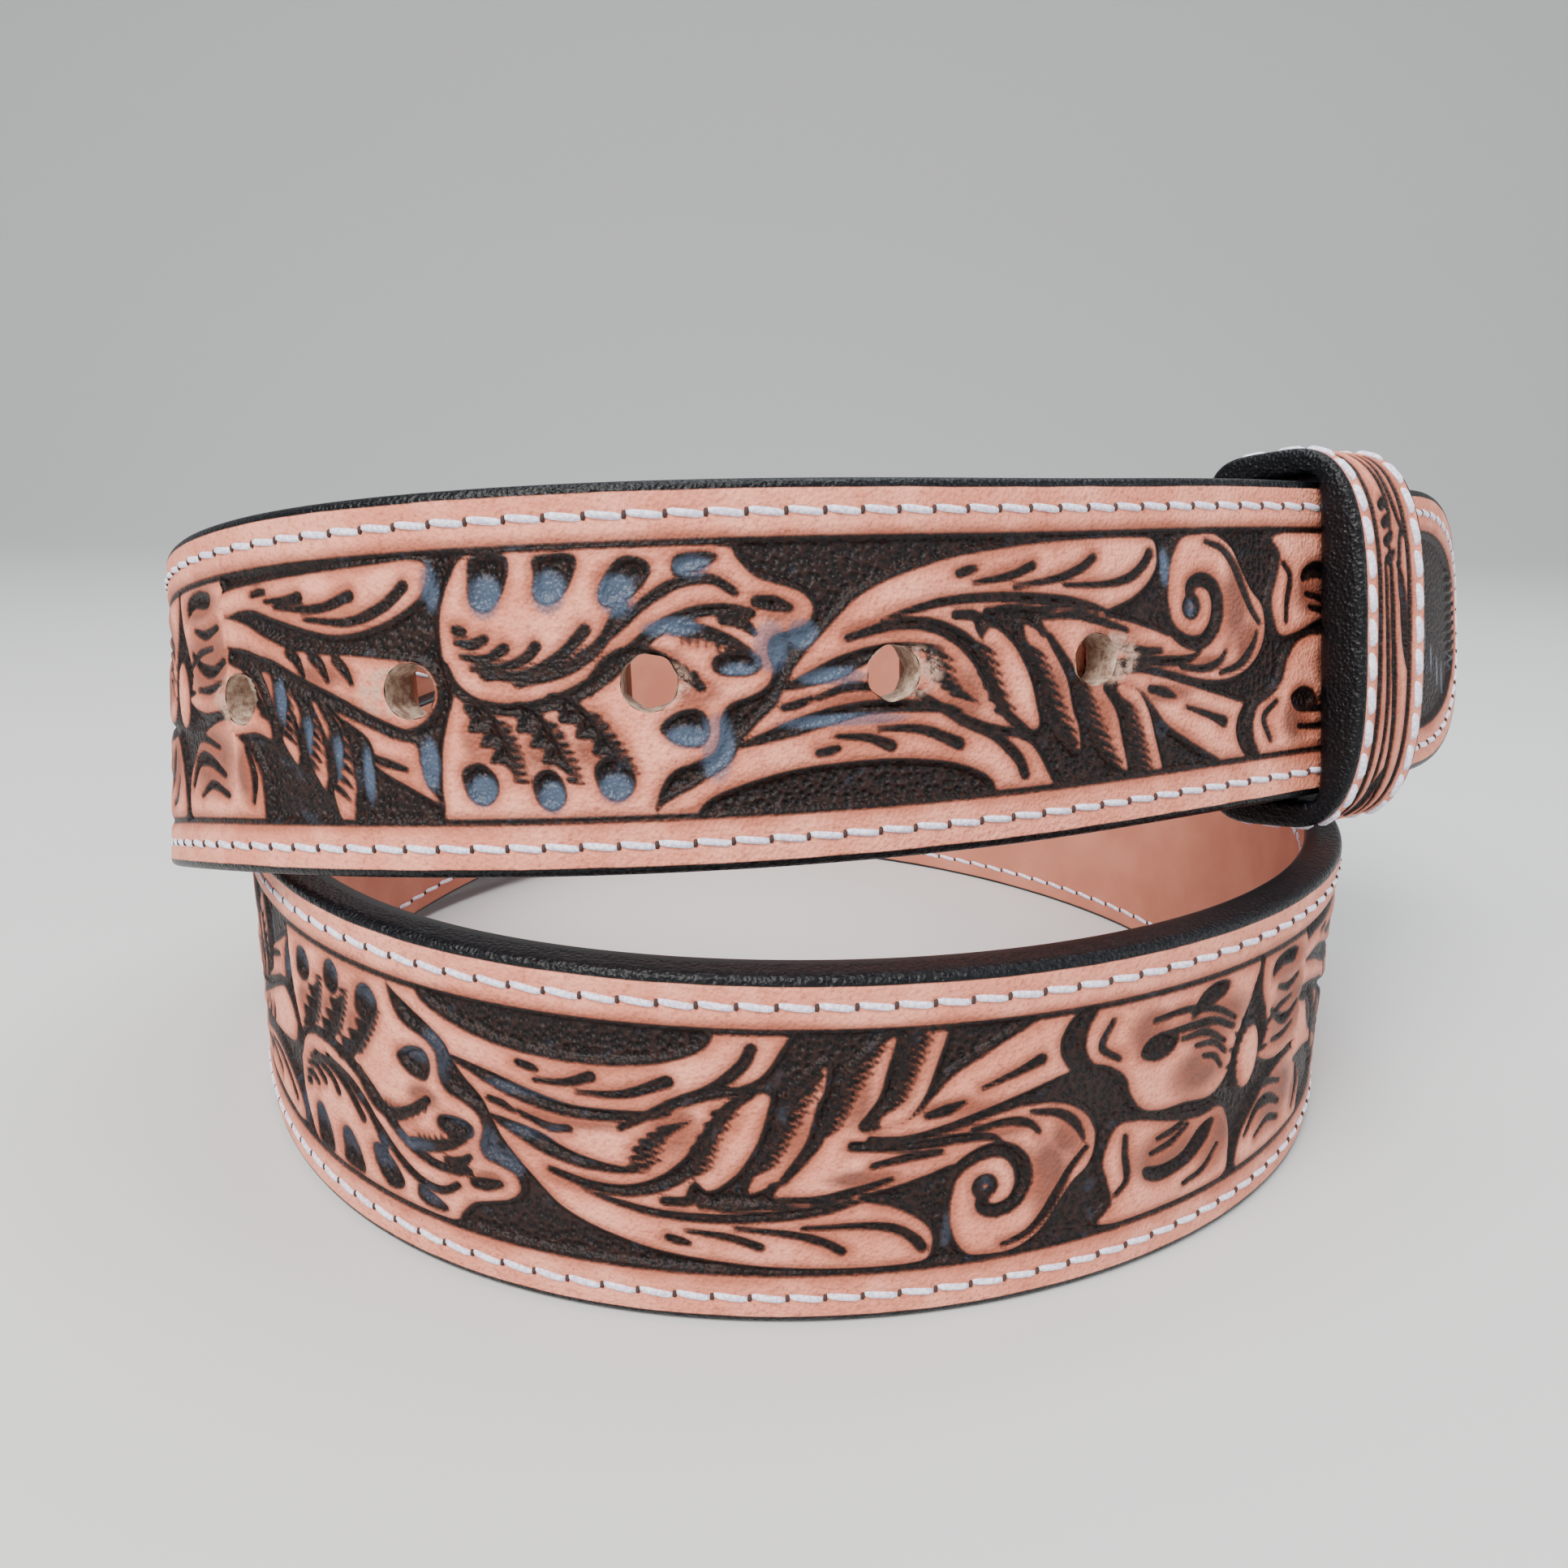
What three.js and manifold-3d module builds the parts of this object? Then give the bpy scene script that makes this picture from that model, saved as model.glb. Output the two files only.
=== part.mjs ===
// Western tooled belt, fastened through its own keeper and coiled into two turns that stand on one edge.
// Millimetres, +Z up. The floor is z = 0, with the origin under the middle of the belt's box.
import * as THREE from "three";
import Module from "manifold-3d";
import { mergeVertices } from "three/addons/utils/BufferGeometryUtils.js";

const strapWidth = 39;
const strapLength = 1108;
const faceThickness = 3.0;     // tooled outer leather
const glueGap = 0.3;           // between the two leathers
const liningThickness = 1.5;
const edgeRound = 0.9;         // bevel of the burnished outer corners
const liningRound = 0.5;
const gluedEdgeRound = 0.01;   // the corners between the two leathers stay square

const tipTaper = 40;           // length over which the strap narrows to its point
const tipBlunt = 5;            // half-width of the blunt nose
const tipSwell = 2.4;          // power of the taper's curve
const squareEndTrim = 2;       // narrowing of the other end's corners

const holeDiameter = 5.8;
const holePitch = 25;
const holeCount = 5;
const firstHoleFromTip = 105.7;
const punchSides = 16;

const keeperWidth = 16;        // along the strap
const keeperThickness = 3.6;
const keeperFromTip = 61.7;    // the keeper's middle
const keeperClearance = 0.7;   // round the two strap layers
const keeperBackSlack = 2.2;   // behind them, where the strap bends away
const keeperCrown = 2.2;       // how far its front bulges
const keeperBevel = 0.8;       // of its cut edges
const keeperFrontPower = 3;    // of the superellipses that draw it: 2 is an ellipse, more is squarer
const keeperBackPower = 5;
const keeperHolePower = 12;
const keeperSteps = 26;

const coilRadius = 80;         // the strap's outer face in the lower turn
const turnGap = 0.6;           // between two turns that lie together
const tipTurn = -100;          // where the point of the strap is, in degrees round the coil
const stationStep = 7;         // along the strap
const tipStationStep = 2;

const strapThickness = faceThickness + glueGap + liningThickness;
const halfWidth = strapWidth / 2;
const turnStep = strapThickness + turnGap;
const keeperMiddle = -(turnStep + strapThickness) / 2;

// The strap's route, seen from above, goes clockwise from the point of the strap. Turn 0 is the front, 90 the
// left, 180 the back. reach is the radius as a share of coilRadius, layer how many strap thicknesses further out
// the strap lies, rise the height of its middle as a share of strapWidth, and lean tilts its top edge outward.
const routeStep = 30;
const routeStart = -150;
const routeRows = [
  { reach: 2.20, layer: 1, rise: 1.58, lean: -9 },  // past the point
  { reach: 1.69, layer: 1, rise: 1.58, lean: -9 },
  { reach: 1.135, layer: 1, rise: 1.61, lean: -9 },  // the point springs outward
  { reach: 0.80, layer: 1, rise: 1.68, lean: -9 },  // keeper
  { reach: 0.70, layer: 1, rise: 1.67, lean: -7 },
  { reach: 0.755, layer: 1, rise: 1.68, lean: -5 },  // front, upper turn
  { reach: 0.88, layer: 1, rise: 1.64, lean: -5 },
  { reach: 1.01, layer: 1, rise: 1.48, lean: -6 },
  { reach: 1.04, layer: 1, rise: 1.08, lean: -4 },  // left, coming down outside the lower turn
  { reach: 1.035, layer: 1, rise: 0.72, lean: -2 },
  { reach: 1.01, layer: 1, rise: 0.53, lean: 0 },
  { reach: 0.96, layer: 1, rise: 0.50, lean: 0 },  // back, on the floor from here
  { reach: 0.90, layer: 1, rise: 0.50, lean: 0 },
  { reach: 0.90, layer: 1, rise: 0.50, lean: 0 },
  { reach: 0.93, layer: 1, rise: 0.50, lean: 0 },  // right
  { reach: 0.94, layer: 1, rise: 0.50, lean: 0 },
  { reach: 0.92, layer: 1, rise: 0.50, lean: 0 },
  { reach: 0.99, layer: 0, rise: 0.50, lean: 0 },  // front, lower turn
  { reach: 1.01, layer: 0, rise: 0.50, lean: 0 },
  { reach: 0.97, layer: 0, rise: 0.50, lean: 0 },
  { reach: 1.00, layer: 0, rise: 0.50, lean: 0 },  // left, inside the turn that comes down
  { reach: 1.02, layer: 0, rise: 0.54, lean: 0 },
  { reach: 0.99, layer: 0, rise: 0.76, lean: 0 },
  { reach: 0.94, layer: 0, rise: 1.06, lean: 0 },  // back, rising
  { reach: 0.87, layer: 0, rise: 1.36, lean: 0 },
  { reach: 0.87, layer: 0, rise: 1.60, lean: -2 },
  { reach: 1.135, layer: 0, rise: 1.61, lean: -9 },  // right, over the lower turn's top edge
  { reach: 0.80, layer: 0, rise: 1.68, lean: -9 },  // keeper, behind the first layer
  { reach: 0.70, layer: 0, rise: 1.67, lean: -7 },  // square end
  { reach: 0.755, layer: 0, rise: 1.67, lean: -5 },
  { reach: 0.88, layer: 0, rise: 1.63, lean: -5 },
  { reach: 1.00, layer: 0, rise: 1.60, lean: -5 },
  { reach: 1.00, layer: 0, rise: 1.60, lean: -4 },
];
const routeEnd = routeStart + routeStep * (routeRows.length - 1);
const halfDegree = 0.5;

// Uniform cubic B-spline through one column of the route, so that a stretch of equal rows stays exactly level.
function routeValue(column, turn) {
  const place = (turn - routeStart) / routeStep;
  const row = Math.min(Math.max(Math.floor(place), 1), routeRows.length - 3);
  const f = place - row;
  const weights = [(1 - f) ** 3, 3 * f ** 3 - 6 * f ** 2 + 4, -3 * f ** 3 + 3 * f ** 2 + 3 * f + 1, f ** 3];
  return weights.reduce((sum, weight, i) => sum + weight * routeRows[row - 1 + i][column], 0) / 6;
}

function corePoint(turn) {
  const angle = THREE.MathUtils.degToRad(turn);
  const radius = coilRadius * routeValue("reach", turn);
  return new THREE.Vector3(-radius * Math.sin(angle), -radius * Math.cos(angle), 0);
}

// Middle of the strap's outer face: the core curve moved by the row's layers, square to the leaning strap.
function facePoint(turn) {
  const along = corePoint(turn + halfDegree).sub(corePoint(turn - halfDegree)).normalize();
  const out = new THREE.Vector3(-along.y, along.x, 0);
  const lean = THREE.MathUtils.degToRad(routeValue("lean", turn));
  const shift = turnStep * routeValue("layer", turn);
  const point = corePoint(turn).addScaledVector(out, shift * Math.cos(lean));
  point.z = strapWidth * routeValue("rise", turn) - shift * Math.sin(lean);
  return point;
}

// One place on the strap: its point, and the unit vectors along it, up across its width and out of its face.
function frameAt(turn) {
  const along = facePoint(turn + halfDegree).sub(facePoint(turn - halfDegree)).normalize();
  const up = new THREE.Vector3(0, 0, 1).addScaledVector(along, -along.z).normalize();
  const out = new THREE.Vector3().crossVectors(up, along).normalize();
  const lean = THREE.MathUtils.degToRad(routeValue("lean", turn));
  const across = up.clone().multiplyScalar(Math.cos(lean)).addScaledVector(out, Math.sin(lean));
  const face = out.clone().multiplyScalar(Math.cos(lean)).addScaledVector(up, -Math.sin(lean));
  return { point: facePoint(turn), along, across, face };
}

// Table of length along the strap against turn, with its zero at the point of the strap.
function measureRoute() {
  const table = [];
  let length = 0;
  let last = facePoint(tipTurn);
  for (let turn = tipTurn; turn < routeEnd - 1.5 * routeStep; turn += halfDegree) {
    const here = facePoint(turn);
    length += here.distanceTo(last);
    table.push({ turn, length });
    last = here;
  }
  return table;
}
const routeTable = measureRoute();

function turnAt(length) {
  let high = routeTable.findIndex((row) => row.length >= length);
  if (high < 0) high = routeTable.length - 1;
  if (high === 0) return tipTurn;
  const a = routeTable[high - 1];
  const b = routeTable[high];
  return a.turn + (b.turn - a.turn) * (length - a.length) / (b.length - a.length);
}

// Half the strap's width: a blunt point that swells to full width over tipTaper, and a square end with eased
// corners.
function halfWidthAt(length) {
  const share = Math.min(length / tipTaper, 1);
  const swell = 1 - (1 - share) ** tipSwell;
  const fromTip = tipBlunt + (halfWidth - tipBlunt) * swell;
  const end = Math.min((strapLength - length) / squareEndTrim, 1);
  return fromTip - squareEndTrim * (1 - end) / 2;
}

function stationLengths() {
  const lengths = [];
  for (let at = 0; at < tipTaper; at += tipStationStep) lengths.push(at);
  const rest = strapLength - squareEndTrim - tipTaper;
  const steps = Math.round(rest / stationStep);
  for (let i = 0; i <= steps; i++) lengths.push(tipTaper + rest * i / steps);
  lengths.push(strapLength);
  return lengths;
}

// Closed body from rings of points: quads between neighbours, and a fan across each end ring. The quads on the
// first half of a ring and on the second are cut along opposite diagonals, so that two layers that follow the same
// twisted route have matching facets.
function loft(rings) {
  const count = rings[0].length;
  const points = rings.flat();
  const faces = [];
  for (let r = 0; r + 1 < rings.length; r++) {
    for (let i = 0; i < count; i++) {
      const j = (i + 1) % count;
      const a = r * count + i;
      const b = r * count + j;
      if (i < count / 2) faces.push(a, b, a + count, b, b + count, a + count);
      else faces.push(a, b, b + count, a, b + count, a + count);
    }
  }
  const lastRing = (rings.length - 1) * count;
  for (let i = 1; i + 1 < count; i++) {
    faces.push(0, i + 1, i);
    faces.push(lastRing, lastRing + i, lastRing + i + 1);
  }
  const geometry = new THREE.BufferGeometry();
  geometry.setAttribute("position", new THREE.Float32BufferAttribute(points.flatMap((p) => p.toArray()), 3));
  geometry.setIndex(faces);
  return geometry;
}

// A leather layer of the strap between two depths below the outer face, with the named corners bevelled.
function strapLayer(outerDepth, innerDepth, outerBevel, innerBevel) {
  const rings = stationLengths().map((length) => {
    const { point, across, face } = frameAt(turnAt(length));
    const half = halfWidthAt(length);
    const section = [
      [half - outerBevel, outerDepth],
      [half, outerDepth + outerBevel],
      [half, innerDepth - innerBevel],
      [half - innerBevel, innerDepth],
      [-half + innerBevel, innerDepth],
      [-half, innerDepth - innerBevel],
      [-half, outerDepth + outerBevel],
      [-half + outerBevel, outerDepth],
    ];
    return section.map(([u, depth]) => point.clone().addScaledVector(across, u).addScaledVector(face, -depth));
  });
  return loft(rings);
}

const wasm = await Module();
wasm.setup();

function toSolid(geometry) {
  const bare = new THREE.BufferGeometry();
  bare.setAttribute("position", geometry.getAttribute("position"));
  bare.setIndex(geometry.getIndex());
  const merged = mergeVertices(bare, 1e-4);
  const mesh = new wasm.Mesh({
    numProp: 3,
    vertProperties: new Float32Array(merged.getAttribute("position").array),
    triVerts: new Uint32Array(merged.getIndex().array),
  });
  return new wasm.Manifold(mesh);
}

function toGeometry(solid) {
  const { vertProperties, triVerts } = solid.getMesh();
  const geometry = new THREE.BufferGeometry();
  geometry.setAttribute("position", new THREE.Float32BufferAttribute(vertProperties, 3));
  geometry.setIndex(Array.from(triVerts));
  geometry.computeVertexNormals();
  return geometry;
}

// The punch for one hole: a cylinder through the strap's first layer, square to its face.
function punchAt(length) {
  const reach = strapThickness + turnGap;
  const { point, face } = frameAt(turnAt(length));
  const cylinder = new THREE.CylinderGeometry(holeDiameter / 2, holeDiameter / 2, reach, punchSides);
  const turn = new THREE.Quaternion().setFromUnitVectors(new THREE.Vector3(0, 1, 0), face);
  const centre = point.clone().addScaledVector(face, -strapThickness / 2);
  cylinder.applyMatrix4(new THREE.Matrix4().compose(centre, turn, new THREE.Vector3(1, 1, 1)));
  return toSolid(cylinder);
}

function punched(geometry) {
  let solid = toSolid(geometry);
  for (let i = 0; i < holeCount; i++) {
    solid = solid.subtract(punchAt(firstHoleFromTip + i * holePitch));
  }
  return toGeometry(solid);
}

// Half of an oval with flattened sides: a superellipse from +half to -half that reaches to height.
function ovalHalf(half, base, height, power, steps) {
  const points = [];
  for (let i = 0; i < steps; i++) {
    const angle = Math.PI * i / steps;
    const u = half * Math.sign(Math.cos(angle)) * Math.abs(Math.cos(angle)) ** (2 / power);
    points.push(new THREE.Vector2(u, base + (height - base) * Math.sin(angle) ** (2 / power)));
  }
  return points;
}

function oval(half, front, back, frontPower, backPower) {
  const rear = ovalHalf(half, keeperMiddle, back, backPower, keeperSteps);
  for (const point of rear) point.x = -point.x;
  return [...ovalHalf(half, keeperMiddle, front, frontPower, keeperSteps), ...rear];
}

// Keeper: a flat oval loop round the two strap layers, square to the strap, with a crowned front.
function keeperGeometry() {
  const { point, along, across, face } = frameAt(turnAt(keeperFromTip));
  const innerHalf = halfWidth + keeperClearance;
  const front = keeperClearance;
  const back = -(turnStep + strapThickness + keeperBackSlack);
  const outerHalf = innerHalf + keeperThickness;
  const outerFront = front + keeperThickness + keeperCrown;
  const shape = new THREE.Shape(
    oval(outerHalf, outerFront, back - keeperThickness, keeperFrontPower, keeperBackPower),
  );
  shape.holes.push(new THREE.Path(oval(innerHalf, front, back, keeperHolePower, keeperHolePower)));
  const geometry = new THREE.ExtrudeGeometry(shape, {
    depth: keeperWidth - 2 * keeperBevel,
    bevelThickness: keeperBevel,
    bevelSize: keeperBevel,
    bevelOffset: -keeperBevel,
    bevelSegments: 1,
  });
  geometry.translate(0, 0, keeperBevel - keeperWidth / 2);
  geometry.applyMatrix4(new THREE.Matrix4().makeBasis(across, face, across.clone().cross(face)).setPosition(point));
  geometry.deleteAttribute("uv");
  geometry.deleteAttribute("normal");
  return toGeometry(toSolid(mergeVertices(geometry, 1e-4)));
}

const tooledLeather = new THREE.MeshStandardMaterial({ color: 0x8a5a48, roughness: 0.55, metalness: 0 });
const liningLeather = new THREE.MeshStandardMaterial({ color: 0xc88a76, roughness: 0.7, metalness: 0 });
const keeperLeather = new THREE.MeshStandardMaterial({ color: 0xb5765c, roughness: 0.5, metalness: 0 });

function named(name, geometry, material) {
  const mesh = new THREE.Mesh(geometry, material);
  mesh.name = name;
  return mesh;
}

const belt = new THREE.Group();
belt.add(named("strap_face", punched(strapLayer(0, faceThickness, edgeRound, gluedEdgeRound)), tooledLeather));
belt.add(named(
  "strap_lining",
  punched(strapLayer(faceThickness + glueGap, strapThickness, gluedEdgeRound, liningRound)),
  liningLeather,
));
belt.add(named("keeper", keeperGeometry(), keeperLeather));

// The origin goes under the middle of the whole belt.
const centre = new THREE.Box3().setFromObject(belt).getCenter(new THREE.Vector3());
for (const mesh of belt.children) mesh.geometry.translate(-centre.x, -centre.y, 0);

export default belt;
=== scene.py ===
import math
import bpy
import numpy as np
from mathutils import Matrix, Vector


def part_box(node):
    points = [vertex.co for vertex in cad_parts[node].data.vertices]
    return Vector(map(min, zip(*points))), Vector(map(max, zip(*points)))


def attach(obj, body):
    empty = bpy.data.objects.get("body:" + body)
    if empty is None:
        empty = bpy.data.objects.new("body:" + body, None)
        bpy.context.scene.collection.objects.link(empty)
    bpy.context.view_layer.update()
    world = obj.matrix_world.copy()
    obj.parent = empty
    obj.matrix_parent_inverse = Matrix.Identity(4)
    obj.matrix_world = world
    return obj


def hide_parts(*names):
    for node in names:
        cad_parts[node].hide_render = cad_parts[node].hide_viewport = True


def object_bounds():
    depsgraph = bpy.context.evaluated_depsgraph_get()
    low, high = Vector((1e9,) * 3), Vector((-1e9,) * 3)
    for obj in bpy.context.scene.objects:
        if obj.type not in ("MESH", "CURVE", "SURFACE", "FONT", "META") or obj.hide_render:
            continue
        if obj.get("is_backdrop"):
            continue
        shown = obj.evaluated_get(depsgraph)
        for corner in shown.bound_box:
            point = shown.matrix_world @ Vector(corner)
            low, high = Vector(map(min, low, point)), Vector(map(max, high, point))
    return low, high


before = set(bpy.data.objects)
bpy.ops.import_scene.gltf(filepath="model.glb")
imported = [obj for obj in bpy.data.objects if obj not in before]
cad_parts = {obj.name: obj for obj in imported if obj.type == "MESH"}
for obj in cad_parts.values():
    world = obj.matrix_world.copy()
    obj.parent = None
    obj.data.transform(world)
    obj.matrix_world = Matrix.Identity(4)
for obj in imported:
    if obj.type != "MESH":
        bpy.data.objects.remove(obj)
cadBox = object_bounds()
print("frame loaded")

mm = 0.001

# The strap and its route, as in the frame. Lengths are in millimetres until a mesh is made.
strap = {
    "width": 39.0,
    "length": 1108.0,
    "thickness": 4.8,
    "turnStep": 5.4,
    "coilRadius": 80.0,
    "tipTurn": -100.0,
    "tipTaper": 40.0,
    "tipBlunt": 5.0,
    "tipSwell": 2.4,
    "firstHole": 105.7,
    "holePitch": 25.0,
    "holeRadius": 2.9,
}
halfWidth = strap["width"] / 2

# Route rows every 30 degrees from turn -150: reach, layer, rise, lean.
routeRows = np.array([
    (2.20, 1, 1.58, -9), (1.69, 1, 1.58, -9), (1.135, 1, 1.61, -9), (0.80, 1, 1.68, -9),
    (0.70, 1, 1.67, -7), (0.755, 1, 1.68, -5), (0.88, 1, 1.64, -5), (1.01, 1, 1.48, -6),
    (1.04, 1, 1.08, -4), (1.035, 1, 0.72, -2), (1.01, 1, 0.53, 0), (0.96, 1, 0.50, 0), (0.90, 1, 0.50, 0),
    (0.90, 1, 0.50, 0), (0.93, 1, 0.50, 0), (0.94, 1, 0.50, 0), (0.92, 1, 0.50, 0), (0.99, 0, 0.50, 0),
    (1.01, 0, 0.50, 0), (0.97, 0, 0.50, 0), (1.00, 0, 0.50, 0), (1.02, 0, 0.54, 0), (0.99, 0, 0.76, 0),
    (0.94, 0, 1.06, 0), (0.87, 0, 1.36, 0), (0.87, 0, 1.60, -2), (1.135, 0, 1.61, -9), (0.80, 0, 1.68, -9),
    (0.70, 0, 1.67, -7), (0.755, 0, 1.67, -5), (0.88, 0, 1.63, -5), (1.00, 0, 1.60, -5), (1.00, 0, 1.60, -4)
])


def routeColumns(turn):
    # uniform cubic B-spline through the rows, all four columns at once
    place = (turn + 150.0) / 30.0
    row = np.clip(np.floor(place).astype(int), 1, len(routeRows) - 3)
    f = (place - row)[:, None]
    return ((1 - f) ** 3 * routeRows[row - 1] + (3 * f ** 3 - 6 * f ** 2 + 4) * routeRows[row]
            + (-3 * f ** 3 + 3 * f ** 2 + 3 * f + 1) * routeRows[row + 1] + f ** 3 * routeRows[row + 2]) / 6


def unit(vectors):
    return vectors / np.linalg.norm(vectors, axis=-1, keepdims=True)


def routeTable():
    # face line of the strap: core circle scaled by reach, moved out by its layers square to the lean
    turn = np.arange(-110.0, 735.0, 0.25)
    columns = routeColumns(turn)
    angle = np.radians(turn)
    radius = strap["coilRadius"] * columns[:, 0]
    core = np.stack([-radius * np.sin(angle), -radius * np.cos(angle), 0 * radius], 1)
    lean = np.radians(columns[:, 3])
    ahead = unit(np.gradient(core, axis=0))
    out = np.stack([-ahead[:, 1], ahead[:, 0], 0 * angle], 1)
    shift = strap["turnStep"] * columns[:, 1]
    point = core + out * (shift * np.cos(lean))[:, None]
    point[:, 2] = strap["width"] * columns[:, 2] - shift * np.sin(lean)
    along = unit(np.gradient(point, axis=0))
    up = unit(np.array([0.0, 0, 1]) - along[:, 2:] * along)
    out = np.cross(up, along)
    across = up * np.cos(lean)[:, None] + out * np.sin(lean)[:, None]
    face = out * np.cos(lean)[:, None] - up * np.sin(lean)[:, None]
    length = np.concatenate([[0], np.cumsum(np.linalg.norm(np.diff(point, axis=0), axis=1))])
    length -= np.interp(strap["tipTurn"], turn, length)
    return {"length": length, "point": point, "along": along, "across": across, "face": face}


route = routeTable()


def routeAt(name, s):
    # one of the route's vectors at some lengths along it
    return np.stack([np.interp(s, route["length"], route[name][:, k]) for k in range(3)], -1)


def strapPoints(s, v, depth):
    # place on the strap: along it, up its width, and down from its outer face
    shape = np.broadcast(s, v, depth).shape
    s, v, depth = (np.broadcast_to(a, shape).astype(float) for a in (s, v, depth))
    return routeAt("point", s) + routeAt("across", s) * v[..., None] - routeAt("face", s) * depth[..., None]


def halfAt(s):
    # half the width: it grows from the blunt point as 1 - (1 - share) ** swell, and is rounded at the cut end
    share = np.clip(s / strap["tipTaper"], 0, 1)
    taper = strap["tipBlunt"] + (halfWidth - strap["tipBlunt"]) * (1 - (1 - share) ** strap["tipSwell"])
    return taper - np.clip(1 - (strap["length"] - s) / 2.0, 0, 1)


# The frame has its origin under the middle of its box; this finds the same shift.
nodeBox = np.array([tuple(corner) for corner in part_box("strap_face")])
sampleS = np.arange(0.0, strap["length"], 1.0)
outer = np.concatenate([strapPoints(sampleS, side * (halfAt(sampleS) - 0.9), 0.0) for side in (-1, 1)])
shift = (nodeBox.min(0)[:2] + nodeBox.max(0)[:2]) / 2 / mm - (outer.min(0)[:2] + outer.max(0)[:2]) / 2
shift = np.array([shift[0], shift[1], 0.0])
print("route laid, shift", shift.round(2))

# ---------- materials


class Socket:
    # a shader value that can be used in ordinary arithmetic
    def __init__(self, tree, out):
        self.tree, self.out = tree, out

    def join(self, operation, *others):
        node = self.tree.nodes.new("ShaderNodeMath")
        node.operation = operation
        for i, value in enumerate(others):
            if isinstance(value, Socket):
                self.tree.links.new(value.out, node.inputs[i])
            else:
                node.inputs[i].default_value = value
        return Socket(self.tree, node.outputs[0])

    def __add__(self, other): return self.join("ADD", self, other)
    def __radd__(self, other): return self.join("ADD", other, self)
    def __sub__(self, other): return self.join("SUBTRACT", self, other)
    def __rsub__(self, other): return self.join("SUBTRACT", other, self)
    def __mul__(self, other): return self.join("MULTIPLY", self, other)
    def __rmul__(self, other): return self.join("MULTIPLY", other, self)
    def atMost(self, other): return self.join("MINIMUM", self, other)

    def step(self, low, high):
        # smooth change from 0 to 1 between low and high
        node = self.tree.nodes.new("ShaderNodeMapRange")
        node.interpolation_type = "SMOOTHSTEP"
        self.tree.links.new(self.out, node.inputs["Value"])
        node.inputs["From Min"].default_value = low
        node.inputs["From Max"].default_value = high
        return Socket(self.tree, node.outputs["Result"])


class Paint:
    def __init__(self, name):
        self.material = bpy.data.materials.new(name)
        self.material.use_nodes = True
        self.tree = self.material.node_tree
        self.shader = self.tree.nodes["Principled BSDF"]

    def node(self, kind, settings=None, values=None, out=0):
        node = self.tree.nodes.new(kind)
        for key, value in (settings or {}).items():
            setattr(node, key, value)
        for key, value in (values or {}).items():
            if isinstance(value, Socket):
                self.tree.links.new(value.out, node.inputs[key])
            else:
                node.inputs[key].default_value = value
        return Socket(self.tree, node.outputs[out])

    def attribute(self, name):
        return self.node("ShaderNodeAttribute", {"attribute_name": name}, out="Fac")

    def place(self, scale):
        # object coordinates, scaled
        coords = self.node("ShaderNodeTexCoord", out="Object")
        return self.node("ShaderNodeVectorMath", {"operation": "SCALE"}, {0: coords, "Scale": scale})

    def noise(self, scale, detail=2.0, rough=0.5, vector=None):
        values = {"Vector": vector or self.place(scale), "Scale": 1.0, "Detail": detail, "Roughness": rough}
        return self.node("ShaderNodeTexNoise", {"noise_dimensions": "3D"}, values)

    def mix(self, factor, a, b):
        # blend of two colours; slots 0, 6 and 7 are the node's factor and its colours
        node = self.tree.nodes.new("ShaderNodeMix")
        node.data_type = "RGBA"
        for slot, value in ((0, factor), (6, a), (7, b)):
            if isinstance(value, Socket):
                self.tree.links.new(value.out, node.inputs[slot])
            else:
                node.inputs[slot].default_value = value if slot == 0 else (*value, 1.0)
        return Socket(self.tree, node.outputs[2])

    def bump(self, height, distance, strength=1.0, normal=None):
        # relief of a height that is distance metres for 1, laid over the relief that is there
        values = {"Height": height, "Distance": distance, "Strength": strength}
        if normal:
            values["Normal"] = normal
        return self.node("ShaderNodeBump", None, values)

    def feed(self, **inputs):
        # values or colours into the shader's inputs
        for key, value in inputs.items():
            name = {"baseColor": "Base Color", "roughness": "Roughness", "normal": "Normal",
                    "sheen": "Sheen Weight", "specular": "Specular IOR Level"}[key]
            if isinstance(value, Socket):
                self.tree.links.new(value.out, self.shader.inputs[name])
            else:
                self.shader.inputs[name].default_value = (*value, 1.0) if isinstance(value, tuple) else value
        return self.material


tan = (0.71, 0.236, 0.148)
tanPale = (0.85, 0.330, 0.224)
tanDeep = (0.30, 0.078, 0.042)
residue = (0.030, 0.009, 0.006)
brown = (0.085, 0.022, 0.014)
dye = (0.0035, 0.0016, 0.0016)
dyeBrown = (0.022, 0.0075, 0.005)
# painted reflection: the blue-grey sheen tinted into the glossy dye and the glossy dabs
paintedSheenBlue = (0.062, 0.088, 0.135)
edgeBlack = (0.0015, 0.0018, 0.003)


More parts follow.
